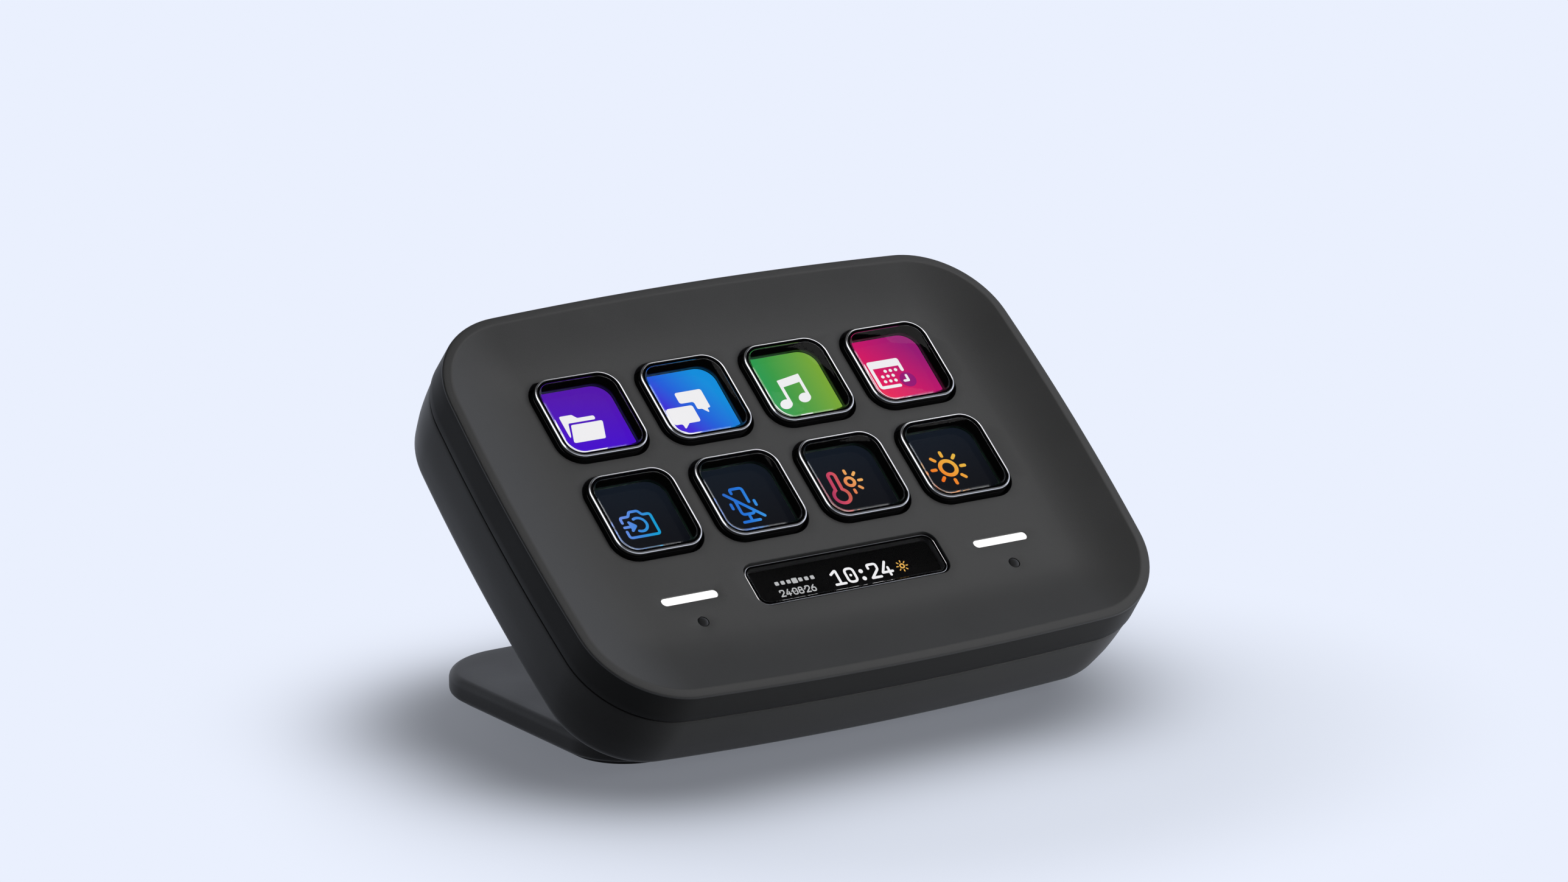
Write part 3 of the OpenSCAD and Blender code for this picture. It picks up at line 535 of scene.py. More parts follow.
def back_case():
    """Back shell: out over the flat back, round its edge, up the side, round the groove and
    down inside. The flat is filled round the socket's recess and the four screw wells."""
    skin = Skin()
    c = -BACK_INSET - BACK_ROUND
    profile = [(FLAT_EDGE, BACK_Z)] + arc((c, BACK_Z + BACK_ROUND), BACK_ROUND, -90, -14, 12)
    profile += [(-0.74, -15.4), (-0.57, -14.4), (-0.40, -13.3), (-0.27, -12.1), (-0.17, -10.8),
                (-0.10, -9.5), (-0.05, -8.2), (-0.01, -7.1), (0.0, -6.42), (-0.03, -6.3), (-0.1, -6.25),
                (-0.45, -6.25), (-0.45, -PARTING), (-2.15, -PARTING), (-2.15, -7.0),
                (-WALL - BACK_INSET, -14.0), (-WALL - BACK_INSET, FLOOR_Z + 2.3),
                (c + 1.4, FLOOR_Z + 0.7), (c, FLOOR_Z), (FLAT_EDGE, FLOOR_Z)]
    skin.grid(rings(outline, profile))
    wells = four(*CASE_BOSS)
    recess, slot = [((0, PORT_Y), (PORT_HALF[0] + w, PORT_HALF[1] + h), PORT_HALF[1] + h - STRAIGHT, 10)
                    for w, h in ((3, 2.5), (0.1, 0.1))]
    for opening, roll, r, z in ((recess, PORT_ROLL, WELL_R + 0.15, BACK_Z), (slot, 0.0, TUBE_R, FLOOR_Z)):

        def inside(x, y, opening=opening, roll=roll, r=r):
            d = np.maximum(out_of(x, y) - FLAT_EDGE, -past_hole(x, y, opening, roll))
            for p in wells:
                d = np.maximum(d, r - np.hypot(x - p[0], y - p[1]))
            return d

        loops = [hole(opening, roll)] + [circle(r, 32, p) for p in wells]
        p, tri = fill(outline(FLAT_EDGE), loops, inside, BACK_STEP)
        skin.sheet(lift(p, z), tri, z > BACK_Z)
    rows = [lift(hole(recess, out), BACK_Z + rise) for out, rise in rolled_edge(PORT_ROLL)]
    rows += [lift(hole(recess), BACK_Z + PORT_RECESS), lift(hole(slot), BACK_Z + PORT_RECESS),
             lift(hole(slot), FLOOR_Z)]
    skin.grid(rows[::-1])
    well = [(BORE_R, CASE_SEAT + BORE_D), (BORE_R, CASE_SEAT), (WELL_R, CASE_SEAT), (WELL_R, BACK_Z + 0.18),
            (WELL_R + 0.04, BACK_Z + 0.05), (WELL_R + 0.15, BACK_Z)]
    for p in wells:
        rows = [lift(circle(r, 32, p), z) for r, z in well]
        skin.grid(rows)
        skin.cap(rows[0], up=False)
        tube = [lift(circle(TUBE_R, 32, p), z) for z in (FLOOR_Z, CASE_SEAT + 2)]
        skin.grid(tube)
        skin.cap(tube[1])
    # Its material is painted lighter than the front shell's, as painted light
    piece = skin.build("back_case", [charcoal_back_painted_light], "housing")
    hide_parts("back_shell")


# ---------------------------------------------------------------- keys
def key_rows(n, profile):
    """A profile of half-widths and heights swept round a key; the corners keep one centre."""
    def loop(half):
        return round_rect(half, half, CAP_R - (CAP_HALF - half), 12, KEY_CENTRES[n])

    return rings(loop, profile)


def key_window(n):
    """Clear block of a key: a flat top with a slight bevel, a polished rim that rolls over the edge,
    white metal on its top as a painted highlight and darker metal on its outer side as painted shade,
    black-backed sides, and a flat underside. Half-width and height are swept round the cap."""
    profile = [(PLUG_HALF, PLUG_LOW), (PLUG_HALF, CAP_LOW), (CAP_HALF, CAP_LOW), (CAP_HALF, CAP_TOP - 0.62)]
    profile += arc((CAP_HALF - CAP_ROLL, CAP_TOP - CAP_ROLL), CAP_ROLL, 0, 90, 9)
    profile += [(half, CAP_TOP - drop) for half, drop in (
        (CAP_HALF - 0.33, 0.0), (CAP_HALF - 0.36, 0.03), (CAP_HALF - 0.37, 0.17), (7.02, 0.15),
        (7.00, 0.14), (6.94, 0.09), (6.87, 0.05), (6.80, 0.02), (6.72, 0.005), (6.64, 0.0))]
    # Material of each step, as a number in the list that build takes: 3 is the rim's painted highlight, 4
    # the painted shade on its outer side
    kinds = [2, 2, 1] + [4] * 4 + [3] * 8 + [2, 2] + [0] * 6
    skin = Skin()
    skin.prism(key_rows(n, profile), kinds)
    piece = skin.build("key_window_%d" % (n + 1), [clear_cap, wall_black, well_black, rim_painted_highlight, rim_painted_shade],
                       "key_%d" % (n + 1))
    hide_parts("key_cap_%d" % (n + 1))


def key_sleeve(n):
    """Black sleeve of a key: a closed profile, with a flange under the face, swept round the cap."""
    hollow, top = PLUG_HALF + 0.02, CAP_LOW - 0.005
    profile = [(hollow, top), (hollow, FLANGE_LOW), (FLANGE_HALF, FLANGE_LOW), (FLANGE_HALF, FLANGE_TOP),
               (CAP_HALF, FLANGE_TOP), (CAP_HALF, CAP_LOW - 0.06), (CAP_HALF - 0.06, top), (hollow, top)]
    skin = Skin()
    skin.grid(key_rows(n, profile))
    piece = skin.build("key_sleeve_%d" % (n + 1), [wall_black], "key_%d" % (n + 1))
    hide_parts("key_skirt_%d" % (n + 1))


# ---------------------------------------------------------------- pictures on the display
def smooth_path(points, r, closed=False, n=6):
    """A polyline with rounded bends: each is a quadratic curve between the points where an arc
    of the radius would touch, at most 0.45 of a side away from the bend."""
    p = [np.array(q, float) for q in points]
    out = []
    for i in range(len(p)):
        if not closed and i in (0, len(p) - 1):
            out.append(p[i])
            continue
        a, b, c = p[i - 1], p[i], p[(i + 1) % len(p)]
        u, v = (a - b) / np.linalg.norm(a - b), (c - b) / np.linalg.norm(c - b)
        half = np.arccos(np.clip(u @ v, -1, 1)) / 2
        if half > 1.5:
            out.append(b)
            continue
        run = min(r / np.tan(half), 0.45 * np.linalg.norm(a - b), 0.45 * np.linalg.norm(c - b))
        for t in np.linspace(0, 1, n + 1):
            out.append((1 - t) ** 2 * (b + u * run) + 2 * t * (1 - t) * b + t * t * (b + v * run))
    return np.array(out)


def band(path, width, closed=False):
    """Edge loops of a stroke: each point goes out along the bisector of its neighbours, and
    an open stroke has round ends. Open gives one loop, closed gives an outer and an inner one."""
    p = np.asarray(path, float)
    seg = np.roll(p, -1, 0) - p
    seg = seg / np.maximum(np.linalg.norm(seg, axis=1), 1e-9)[:, None]
    before = np.roll(seg, 1, 0)
    if not closed:
        seg[-1], before[0] = seg[-2], seg[0]
    normal_a = np.stack([-before[:, 1], before[:, 0]], 1)
    normal_b = np.stack([-seg[:, 1], seg[:, 0]], 1)
    normal = (normal_a + normal_b) / np.maximum(1 + (normal_a * normal_b).sum(1), 0.4)[:, None]
    left, right = p + normal * width / 2, p - normal * width / 2
    if closed:
        return (right, left) if twice_area(p) > 0 else (left[::-1], right[::-1])

    def end(at, along):
        a = np.arctan2(along[1], along[0]) + np.radians(np.linspace(-90, 90, 9)[1:-1])
        return at + width / 2 * np.stack([np.cos(a), np.sin(a)], 1)

    return np.concatenate([right, end(p[-1], seg[-1]), left[::-1], end(p[0], -before[0])])


def twice_area(p):
    """Twice the area in a loop, positive when it runs anticlockwise."""
    return (p[:, 0] * np.roll(p[:, 1], -1) - p[:, 1] * np.roll(p[:, 0], -1)).sum()


class Inlay(Skin):
    """Thin raised marks on a display: strokes and filled shapes as shallow prisms."""

    def __init__(self, centre, low, high):
        super().__init__()
        self.centre, self.low, self.high = np.array(centre, float), low, high

    def solid(self, loop):
        """A filled loop."""
        loop = np.asarray(loop, float) + self.centre
        loop = loop if twice_area(loop) > 0 else loop[::-1]
        self.prism([lift(loop, self.low), lift(loop, self.high)])

    def shape(self, points, r):
        """A filled polygon with rounded corners."""
        self.solid(smooth_path(points, r, True))

    def stroke(self, path, width, closed=False):
        """A line of even width along a path."""
        if closed:
            outer, inner = [loop + self.centre for loop in band(path, width, True)]
            self.grid([lift(inner, self.low), lift(outer, self.low), lift(outer, self.high),
                       lift(inner, self.high), lift(inner, self.low)])
        else:
            self.solid(band(path, width))

    def line(self, points, width, r=0.0, closed=False, n=6):
        """A stroke along points, with rounded bends."""
        self.stroke(smooth_path(points, r, closed, n), width, closed)

    def rays(self, centre, inner, outer, width, turns):
        """Short strokes that point away from a centre."""
        for a in np.radians(turns):
            d = np.array([np.cos(a), np.sin(a)])
            self.stroke([centre + d * inner, centre + d * outer], width)

    def finish(self, name, material, slot="display_black", span=7.5):
        """Builds the marks, with a UV map that reaches a span to both sides of the centre."""
        def uv(points):
            return (points[:, :2] - self.centre) / (2 * span) + 0.5

        piece = self.build(name, [material], "housing", uv=uv)


def icon_folder(k):
    """An open folder: a back sheet with a tab, and a leaning front pocket."""
    k.shape([(-3.3, -2.3), (-3.3, 2.7), (-1.0, 2.7), (-0.3, 1.95), (2.7, 1.95), (2.7, 1.2),
             (-2.3, 1.2)], 0.35)
    k.shape([(-3.1, -2.6), (-2.0, 0.8), (3.75, 0.8), (2.65, -2.6)], 0.35)


def icon_talk(k):
    """Two speech bubbles, one before the other."""
    k.shape([(-1.0, 1.35), (-1.0, 3.5), (3.9, 3.5), (3.9, -0.2), (3.3, -0.2), (3.3, -1.2), (2.3, -0.2),
             (1.55, -0.2), (1.55, 1.35)], 0.45)
    k.shape([(-3.9, 0.75), (0.95, 0.75), (0.95, -2.5), (-1.2, -2.5), (-2.4, -3.6), (-2.4, -2.5),
             (-3.9, -2.5)], 0.45)


def icon_notes(k):
    """Two notes under one beam; their heads are leaning ellipses."""
    k.shape([(-1.5, 2.6), (2.9, 3.3), (2.9, 1.8), (-1.5, 1.1)], 0.12)
    k.line([(-1.23, 1.9), (-1.23, -2.0)], 0.55)
    k.line([(2.62, 2.6), (2.62, -1.3)], 0.55)
    lean = np.array([[np.cos(0.35), np.sin(0.35)], [-np.sin(0.35), np.cos(0.35)]])
    for place in ((-2.1, -2.1), (1.75, -1.4)):
        k.solid(circle(1, 28) * (1.2, 0.88) @ lean + place)


def icon_calendar(k):
    """A calendar page, open at one side where a clock's face covers its corner."""
    k.shape([(-3.5, 1.7), (-3.5, 3.15), (2.55, 3.15), (2.55, 1.7)], 0.5)
    k.line([(2.27, 2.0), (2.27, 0.75)], 0.58)
    k.line([(-3.22, 2.0), (-3.22, -2.15), (0.35, -2.15)], 0.58, 0.4)
    for row in range(3):
        for col in range(3):
            k.solid(circle(0.3, 14, (-1.9 + col + (row == 0), 0.95 - row)))
    k.line([(2.35, -0.45), (2.35, -1.45), (1.6, -1.45)], 0.46, 0.1)


def icon_camera(k):
    """A camera's outline with an open corner, its lens as most of a ring, and an arrow into it."""
    k.line([(-2.57, 0.6), (-2.57, 1.6), (-1.05, 1.6), (-0.55, 2.42), (0.95, 2.42), (1.5, 1.6), (2.85, 1.6),
            (2.85, -2.35), (-2.57, -2.35), (-2.57, -1.1)], 0.46, 0.5)
    k.stroke(arc((0.15, -0.15), 1.28, -117, 117, 26), 0.46)
    k.line([(-2.6, -0.28), (-0.75, -0.28)], 0.46)
    k.line([(-1.45, 0.55), (-0.6, -0.28), (-1.45, -1.05)], 0.46, 0.05)


def icon_muted(k):
    """A microphone on its stand, crossed by a bar."""
    k.line([(-1.0, 2.45), (-1.0, 3.22), (1.2, 3.22), (1.22, 0.45)], 0.5, 0.55)
    k.line([(-1.05, 1.0), (-1.05, -1.78), (0.95, -1.78), (1.25, -1.4)], 0.5, 0.6)
    k.line([(-2.35, 2.45), (2.62, -2.55)], 0.54)
    for start, end in (((-2.1, 0.45), (-2.1, -0.4)), ((2.22, 0.5), (2.22, -0.32)),
                       ((0.05, -1.9), (0.05, -3.0)), ((-1.45, -3.2), (1.5, -3.15))):
        k.line([start, end], 0.5)


def icon_warmth(k):
    """A thermometer's outline."""
    k.stroke(arc((-1.65, -1.6), 1.38, 117, 423, 30) + arc((-1.58, 2.3), 0.63, 0, 180, 12), 0.58, True)


def icon_warm_sun(k):
    """The small sun that stands beside the thermometer."""
    k.stroke(circle(0.78, 30, (1.05, 0.77)), 0.55, True)
    k.rays((1.05, 0.77), 1.65, 2.2, 0.5, (90, 45, 0, -45, -90))


def icon_sun(k):
    """A ring with eight rays."""
    k.stroke(circle(1.4, 40, (0.17, 0.05)), 0.68, True)
    k.rays((0.17, 0.05), 2.4, 3.1, 0.58, range(0, 360, 45))


WHITE = [(0.0, "F2F1F3"), (1.0, "F2F1F3")]
NIGHT = [(0.0, "0C0D11"), (0.45, "10131A"), (1.0, "131A24")]
# Name, colours of the lit area with their direction, then each mark with its colours and direction
PICTURES = [
    ("violet", [(0.1, "450BD4"), (0.9, "5519AE")], 80, [(icon_folder, WHITE, 0)]),
    ("azure", [(0.1, "5018C8"), (0.3, "402CD8"), (0.55, "2560DC"), (0.95, "168FDE")], 28,
     [(icon_talk, WHITE, 0)]),
    ("green", [(0.1, "1E9A5A"), (0.4, "3C9C48"), (0.7, "5FA244"), (1.0, "7DAA38")], 0,
     [(icon_notes, WHITE, 0)]),
    ("crimson", [(0.0, "F04038"), (0.25, "E81858"), (0.55, "CC1868"), (1.0, "981C74")], 35,
     [(icon_calendar, WHITE, 0)]),
    ("night", NIGHT, 90, [(icon_camera, [(0.3, "6E90E4"), (0.5, "3E86DC"), (0.68, "149CD4")], -20)]),
    ("night", NIGHT, 90, [(icon_muted, [(0.3, "2C6AC8"), (0.5, "2274DA"), (0.7, "3A94E4")], -10)]),
    ("night", NIGHT, 90, [(icon_warmth, [(0.25, "A0305C"), (0.4, "D24A64"), (0.5, "C8644A")], 0),
                          (icon_warm_sun, [(0.5, "E27C50"), (0.7, "F2B060")], 30)]),
    ("night", NIGHT, 90, [(icon_sun, [(0.3, "F2701C"), (0.5, "F0A038"), (0.7, "E8B844")], 40)]),
]


def pictures():
    """Lit areas of the display, one under each key, with their marks."""
    for n, (name, stops, angle, marks) in enumerate(PICTURES):
        tile = Inlay(KEY_CENTRES[n], PICTURE_Z - 0.02, MARK_Z)
        tile.solid(round_rect(PICTURE_HALF, PICTURE_HALF, PICTURE_R, 10))
        tile.finish("picture_%d" % (n + 1), lit("screen_%s_%d" % (name, n + 1), stops, angle))
        for letter, (draw, colours, turn) in zip("ab", marks):
            label = "%d_%s" % (n + 1, letter)
            mark = Inlay(KEY_CENTRES[n], MARK_Z, MARK_Z + 0.03)
            draw(mark)
            mark.finish("mark_" + label, lit("ink_" + label, colours, turn))
    badge = Inlay(KEY_CENTRES[3], MARK_Z, MARK_Z + 0.015)
    badge.solid(circle(1.45, 32, (2.3, -1.3)))
    badge.finish("mark_4_badge", lit("ink_badge", [(0.0, "A01A6C"), (1.0, "90187A")]))


# Strokes of each numeral on a box 2 wide and 3 high: points, radius of the bends, closed or not
NUMERALS = {
    "0": [([(0.05, 0), (1.95, 0), (1.95, 3), (0.05, 3)], 0.95, True)],
    "1": [([(-0.05, 2.35), (0.95, 3), (1.2, 3), (1.2, 0.05)], 0.12, False),
          ([(0.05, 0), (2.2, 0)], 0, False)],
    "2": [([(0.05, 2.2), (0.05, 3), (1.95, 3), (1.95, 1.75), (0, 0)], 0.85, False),
          ([(0, 0), (2, 0)], 0, False)],
    "4": [([(1.35, 3), (0, 0.78)], 0, False), ([(0, 0.75), (2.2, 0.75)], 0, False),
          ([(1.5, 1.7), (1.5, 0)], 0, False)],
    "6": [([(1.5, 3), (0.6, 2.2), (0.05, 1.2)], 0.8, False),
          ([(0.05, 0), (1.95, 0), (1.95, 1.8), (0.05, 1.8)], 0.88, True)],
    "8": [([(0, 0), (2, 0), (2, 1.6), (0, 1.6)], 0.78, True),
          ([(0.2, 1.6), (1.8, 1.6), (1.8, 3), (0.2, 3)], 0.68, True)],
}


def numeral(k, digit, x, y, height, weight):
    """One numeral scaled to a height; nought has a dot in its middle."""
    s = height / 3
    for points, r, closed in NUMERALS[digit]:
        k.line(np.array(points) * s + (x, y), weight, r * s, closed, 9)
    if digit == "0":
        k.solid(circle(0.28 * s, 16, (x + s, y + 1.5 * s)))


def info_marks():
    """Numerals of a clock, a row of day marks with a date below it, and a small amber sun."""
    clock, date, sun = [Inlay((0, INFO_Y), UNDER_Z, UNDER_Z + 0.03) for _ in range(3)]
    for digit, x in zip("10:24", (-2.5, 0.0, 2.9, 4.35, 6.6)):
        if digit == ":":
            for y in (-1.6, -0.2):
                clock.solid(circle(0.38, 20, (x, y)))
        else:
            numeral(clock, digit, x, -1.82, 2.5, 0.42)
    clock.finish("clock_numerals", lit("ink_clock", WHITE), span=18)
    for i in range(7):
        h = 0.48 if i == 3 else 0.34
        date.solid(round_rect(h, h, 0.14, 3, (-12.5 + 1.1 * i, 0.35)))
    for digit, x in zip("24 08 26", (-12.8, -11.75, -10.75, -10.45, -9.4, -8.4, -8.1, -7.05)):
        if digit == " ":
            date.solid(circle(0.13, 10, (x + 0.1, -1.45)))
        else:
            numeral(date, digit, x, -2.1, 1.1, 0.2)
    date.finish("date_numerals", lit("ink_date", [(0.0, "B9BABC"), (1.0, "B9BABC")]), span=18)
    sun.stroke(circle(0.36, 20, (10.5, -0.65)), 0.22, True)
    sun.rays((10.5, -0.65), 0.74, 1.0, 0.18, range(0, 360, 45))
    sun.finish("amber_sun", lit("ink_amber", [(0.0, "E8B456"), (1.0, "E8B456")]), span=18)


def info_glass():
    """Clear lens of the information window, with a fine polished edge whose white metal top is a
    painted highlight and whose darker outer side is painted shade, and blackened sides.
    """
    def loop(inset):
        return round_rect(INFO_HALF[0] - inset, INFO_HALF[1] - inset, INFO_R - inset, 12, (0, INFO_Y))

    profile = [(0.0, LENS_LOW), (0.0, LENS_TOP - 0.35)]
    profile += [(LENS_ROLL - x, z) for x, z in arc((0.0, LENS_TOP - LENS_ROLL), LENS_ROLL, 0, 90, 6)]
    profile += [(inset, LENS_TOP - drop) for inset, drop in (
        (0.20, 0.02), (0.21, 0.10), (0.50, 0.09), (0.54, 0.05), (0.60, 0.02), (0.70, 0.0))]
    skin = Skin()
    skin.prism(rings(loop, profile), [2] + [3] * 3 + [1] * 5 + [2] * 2 + [0] * 3)
    piece = skin.build("info_glass", [clear_lens, rim_painted_highlight, well_black, rim_painted_shade], "housing")
    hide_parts("info_lens")


# ---------------------------------------------------------------- light bars and touch points
def light_guide(word):
    """Milky bar with a rolled top edge on a wider foot, swept round a long oval."""
    def loop(grow):
        r = LIGHT_HALF[1] - STRAIGHT + min(grow, 0)
        return round_rect(LIGHT_HALF[0] + grow, LIGHT_HALF[1] + grow, r, 8, (SIDES[word] * LIGHT_X, INFO_Y))

    profile = [(LIGHT_FOOT, TOUCH_TOP), (LIGHT_FOOT, SEAT_Z), (0.0, SEAT_Z)]
    profile += arc((-LIGHT_ROLL, LIGHT_TOP - LIGHT_ROLL), LIGHT_ROLL, 0, 90, 3)
    skin = Skin()
    skin.prism(rings(loop, profile))
    piece = skin.build("light_guide_" + word, [glow_white], "housing", uv=lambda p: p[:, :2] / 100 + 0.5)
    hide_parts("light_bar_" + word)


def touch_point(word):
    """Polished button with a low dome, turned about its own axis."""
    low = FACE_Z - 0.10
    profile = [(TOUCH_FOOT_R, TOUCH_TOP), (TOUCH_FOOT_R, SEAT_Z), (TOUCH_R, SEAT_Z), (TOUCH_R, low)]
    profile += [(TOUCH_R * np.cos(a), low + TOUCH_DOME * np.sin(a))
                for a in np.radians([15, 30, 45, 60, 75, 86])]
    skin = Skin()
    skin.prism(rings(lambda r: circle(r, 32, (SIDES[word] * LIGHT_X, TOUCH_Y)), profile))
    piece = skin.build("touch_point_" + word, [touch_black], "housing")
    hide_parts("touch_dot_" + word)


# ---------------------------------------------------------------- socket and screws
def socket():
    """Steel mouth of the socket, a closed wall swept round a long oval, and its blade with contacts."""
    def loop(inset):
        r = PORT_HALF[1] - STRAIGHT - inset
        return round_rect(PORT_HALF[0] - inset, PORT_HALF[1] - inset, r, 10, (0, PORT_Y))

    low, high = BACK_Z + PORT_RECESS, FLOOR_Z + 5.4
    bottom, tip = high - 1.2, low + 0.6
    skin = Skin()
    skin.prism(rings(loop, [(0.32, bottom), (0.32, low + 0.10), (0.24, low), (0.08, low), (0.0, low + 0.08),
                            (0.0, high)]))
    piece = skin.build("socket_mouth", [steel], "housing")
    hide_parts("usb_shell")
    blade = Skin()
    blade.prism([lift(round_rect(3.35 + out, 0.35 + out, 0.2, 4, (0, PORT_Y)), z)
                 for out, z in ((-0.12, tip), (0.0, tip + 0.15), (0.0, bottom))])
    contact = np.array([(-0.13, -0.0125), (0.13, -0.0125), (0.13, 0.0125), (-0.13, 0.0125)])
    for side in (-1, 1):
        for n in range(CONTACTS):
            loop = contact + ((n - (CONTACTS - 1) / 2) * CONTACT_PITCH, PORT_Y + side * 0.3525)
            blade.prism([lift(loop, tip + 0.35), lift(loop, high - 1.6)], 1, 1)
    piece = blade.build("socket_blade", [package, gold], "housing", sharp=30)
    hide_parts("usb_tongue")


def bolt(skin, x, y, seat, shank):
    """Pan-head screw with a six-lobed recess: circles pass into a star whose radius is a cosine
    of six times the angle."""
    t = np.linspace(0, 2 * np.pi, 48, endpoint=False)
    low = seat - SCREW_HEAD_H
    rows = [(0.62, low + 0.75, 0.16), (0.66, low + 0.05, 0.16), (0.74, low, 0.14), (0.98, low, 0.0),
            (1.35, low + 0.06, 0.0), (1.7, low + 0.26, 0.0), (SCREW_HEAD_R, low + 0.6, 0.0),
            (SCREW_HEAD_R, seat, 0.0), (SCREW_R, seat, 0.0), (SCREW_R, seat + shank - 0.5, 0.0),
            (0.45, seat + shank, 0.0)]
    skin.prism([lift(circle(r * (1 + wave * np.cos(6 * t)), 48, (x, y)), z) for r, z, wave in rows])


def bolts():
    """Screws of the case, in their wells, and of the foot, on its tab."""
    skin = Skin()
    for x, y in four(*CASE_BOSS):
        bolt(skin, x, y, CASE_SEAT, SCREW_END - CASE_SEAT)
    piece = skin.build("case_bolts", [screw_black], "housing")
    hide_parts("case_screws")
    skin = Skin()
    head_low = (PAD_T + FOOT_T - FACE_UP - (BACK_Z - TAB_T - SCREW_HEAD_H) * np.cos(TILT)) / np.sin(TILT)
    for y in (head_low + SCREW_HEAD_R + 1, TAB_H - ROUND_Y - TAB_SCREW_Y):
        for x in (-TAB_SCREW_X, TAB_SCREW_X):
            bolt(skin, x, y, BACK_Z - TAB_T, TAB_T + WALL + 2)
    piece = skin.build("foot_bolts", [screw_black], "housing")
    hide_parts("foot_screws")


# ---------------------------------------------------------------- foot
def back_plane(y):
    """Height of the housing's flat back above the floor, at a distance to the rear."""
    edge_z = FACE_UP - ROUND_Y * np.sin(TILT) - BODY_D * np.cos(TILT)
    return edge_z + (y - FOOT_FRONT) * np.tan(TILT)


def foot_bracket():
    """Plate with rolled edges, whose front is kept under the housing's back, and a tab that
    lies on that back, with a fillet in the bend."""
    low, high = PAD_T, PAD_T + FOOT_T
    mid, deep = (FOOT_REAR + FOOT_FRONT) / 2, (FOOT_REAR - FOOT_FRONT) / 2

    def plate_loop(out):
        radii = (FOOT_BACK_R, FOOT_BACK_R, FOOT_FRONT_R, FOOT_FRONT_R)
        return four_corners(FOOT_W / 2, FOOT_FRONT, FOOT_REAR, radii, out, 14)

    def held(points):
        return np.column_stack([points[:, :2], np.minimum(points[:, 2], back_plane(points[:, 1]))])

    def inside(x, y):
        rear, front = [past_rect(x, y, FOOT_W / 2 - FOOT_RIM, deep - FOOT_RIM, r - FOOT_RIM, (0, mid))
                       for r in (FOOT_BACK_R, FOOT_FRONT_R)]
        return np.where(y > mid, rear, front)

    profile = [(-PAD_MARGIN, low + PAD_SEAT), (-PAD_MARGIN, low), (-FOOT_LOW_ROUND, low)]
    profile += arc((-FOOT_LOW_ROUND, low + FOOT_LOW_ROUND), FOOT_LOW_ROUND, -60, 0, 2)
    profile += arc((-FOOT_TOP_ROUND, high - FOOT_TOP_ROUND), FOOT_TOP_ROUND, 0, 90, 8)
    profile += [(-FOOT_RIM, high)]
    skin = Skin()
    rows = [held(row) for row in rings(plate_loop, profile)]
    skin.grid(rows)
    skin.cap(rows[0], up=False)
    p, tri = fill(plate_loop(-FOOT_RIM), [], inside, FOOT_STEP)
    skin.sheet(held(lift(p, high)), tri)
    piece = skin.build("foot_plate", [coated], "housing", level)

    def tab_loop(inset):
        radii = (TAB_R, TAB_R, 1.0, 1.0)
        return four_corners(TAB_HALF, TAB_LOW, TAB_H - ROUND_Y, radii, -inset, 8)

    rows = [(out, BACK_Z - TAB_T + rise) for out, rise in rolled_edge(TAB_ROLL)]
    tab = Skin()
    tab.prism(rings(tab_loop, rows + [(0.0, BACK_Z - 0.05), (0.05, BACK_Z)]))
    piece_tab = tab.build("foot_tab", [coated], "housing")

    y_meet = FOOT_FRONT + (high - back_plane(FOOT_FRONT) + TAB_T / np.cos(TILT)) / np.tan(TILT)
    run = WEB_R / np.tan(TILT / 2)
    bend = arc((y_meet + run, high + WEB_R), WEB_R, 270, 90 + np.degrees(TILT), 10)
    last = (bend[-1][0] - 0.3 * np.sin(TILT), bend[-1][1] + 0.3 * np.cos(TILT))
    section = np.array([(y_meet - 1.0, high - 1.0), (y_meet + run, high - 0.3), *bend, last])
    web = Skin()
    half = TAB_HALF - 0.6
    web.prism([np.column_stack([np.full(len(section), x), section]) for x in (-half, half)])
    piece_web = web.build("foot_web", [coated], "housing", level)
    for p in (piece, piece_tab, piece_web):
        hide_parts("foot")


front_face()
back_case()
for key in range(8):
    key_window(key)
    key_sleeve(key)
pictures()
info_marks()
info_glass()
for word in SIDES:
    light_guide(word)
    touch_point(word)
socket()
bolts()
foot_bracket()


# ---------------------------------------------------------------- floor, light and camera
BACKDROP = tuple(linear("EAF0FE"))
CEILING = (0.05, 0.05, 0.052, 1)
DOME_COLOUR, DOME_STRENGTH = (0.97, 0.98, 1.0, 1), 0.06
PAPER_LIGHT, PAPER_SEEN = (0.26, 0.27, 0.28, 1), (0.90, 0.965, 1.07, 1)
# The dark screen that glossy rays meet in front: where it starts, where it is full, and its share
SCREEN_START, SCREEN_SKY, SCREEN_FLOOR, SCREEN_SHARE = -0.25, -0.60, -0.50, 0.85
CEILING_START, CEILING_FULL = 0.50, 0.80
# Painted soft shadow on the floor: half sizes of its core, width of its edge, and its depth
PAINTED_SHADOW_CORE, PAINTED_SHADOW_EDGE, PAINTED_SHADOW_DEPTH = (0.026, 0.008, 1.0), 0.020, 0.72
# Share of the backdrop in the floor: least near the object, full further out, and least when mirrored; then
# the least brightness that the painted shadow keeps when mirrored
FADE_LEAST, FADE_START, FADE_FULL, MIRRORED_SHARE, MIRRORED_SHADE = 0.70, 0.055, 0.110, 0.9, 0.42


def seen_rays(tree):
    """One for camera, glossy and transmission rays, otherwise nought."""
    total = node(tree, "LightPath", out="Is Camera Ray")
    for name in ("Is Glossy Ray", "Is Transmission Ray"):
        total = node(tree, "Math", total, node(tree, "LightPath", out=name), operation="MAXIMUM")
    return total


def screen(tree, distance, end):
    """Share of a dark screen that only glossy rays meet: none at its start, most at the end."""
    ahead = node(tree, "MapRange", distance, SCREEN_START, end, interpolation_type="SMOOTHSTEP",
                 To_Max=SCREEN_SHARE)
    return node(tree, "Math", ahead, node(tree, "LightPath", out="Is Glossy Ray"), operation="MULTIPLY")


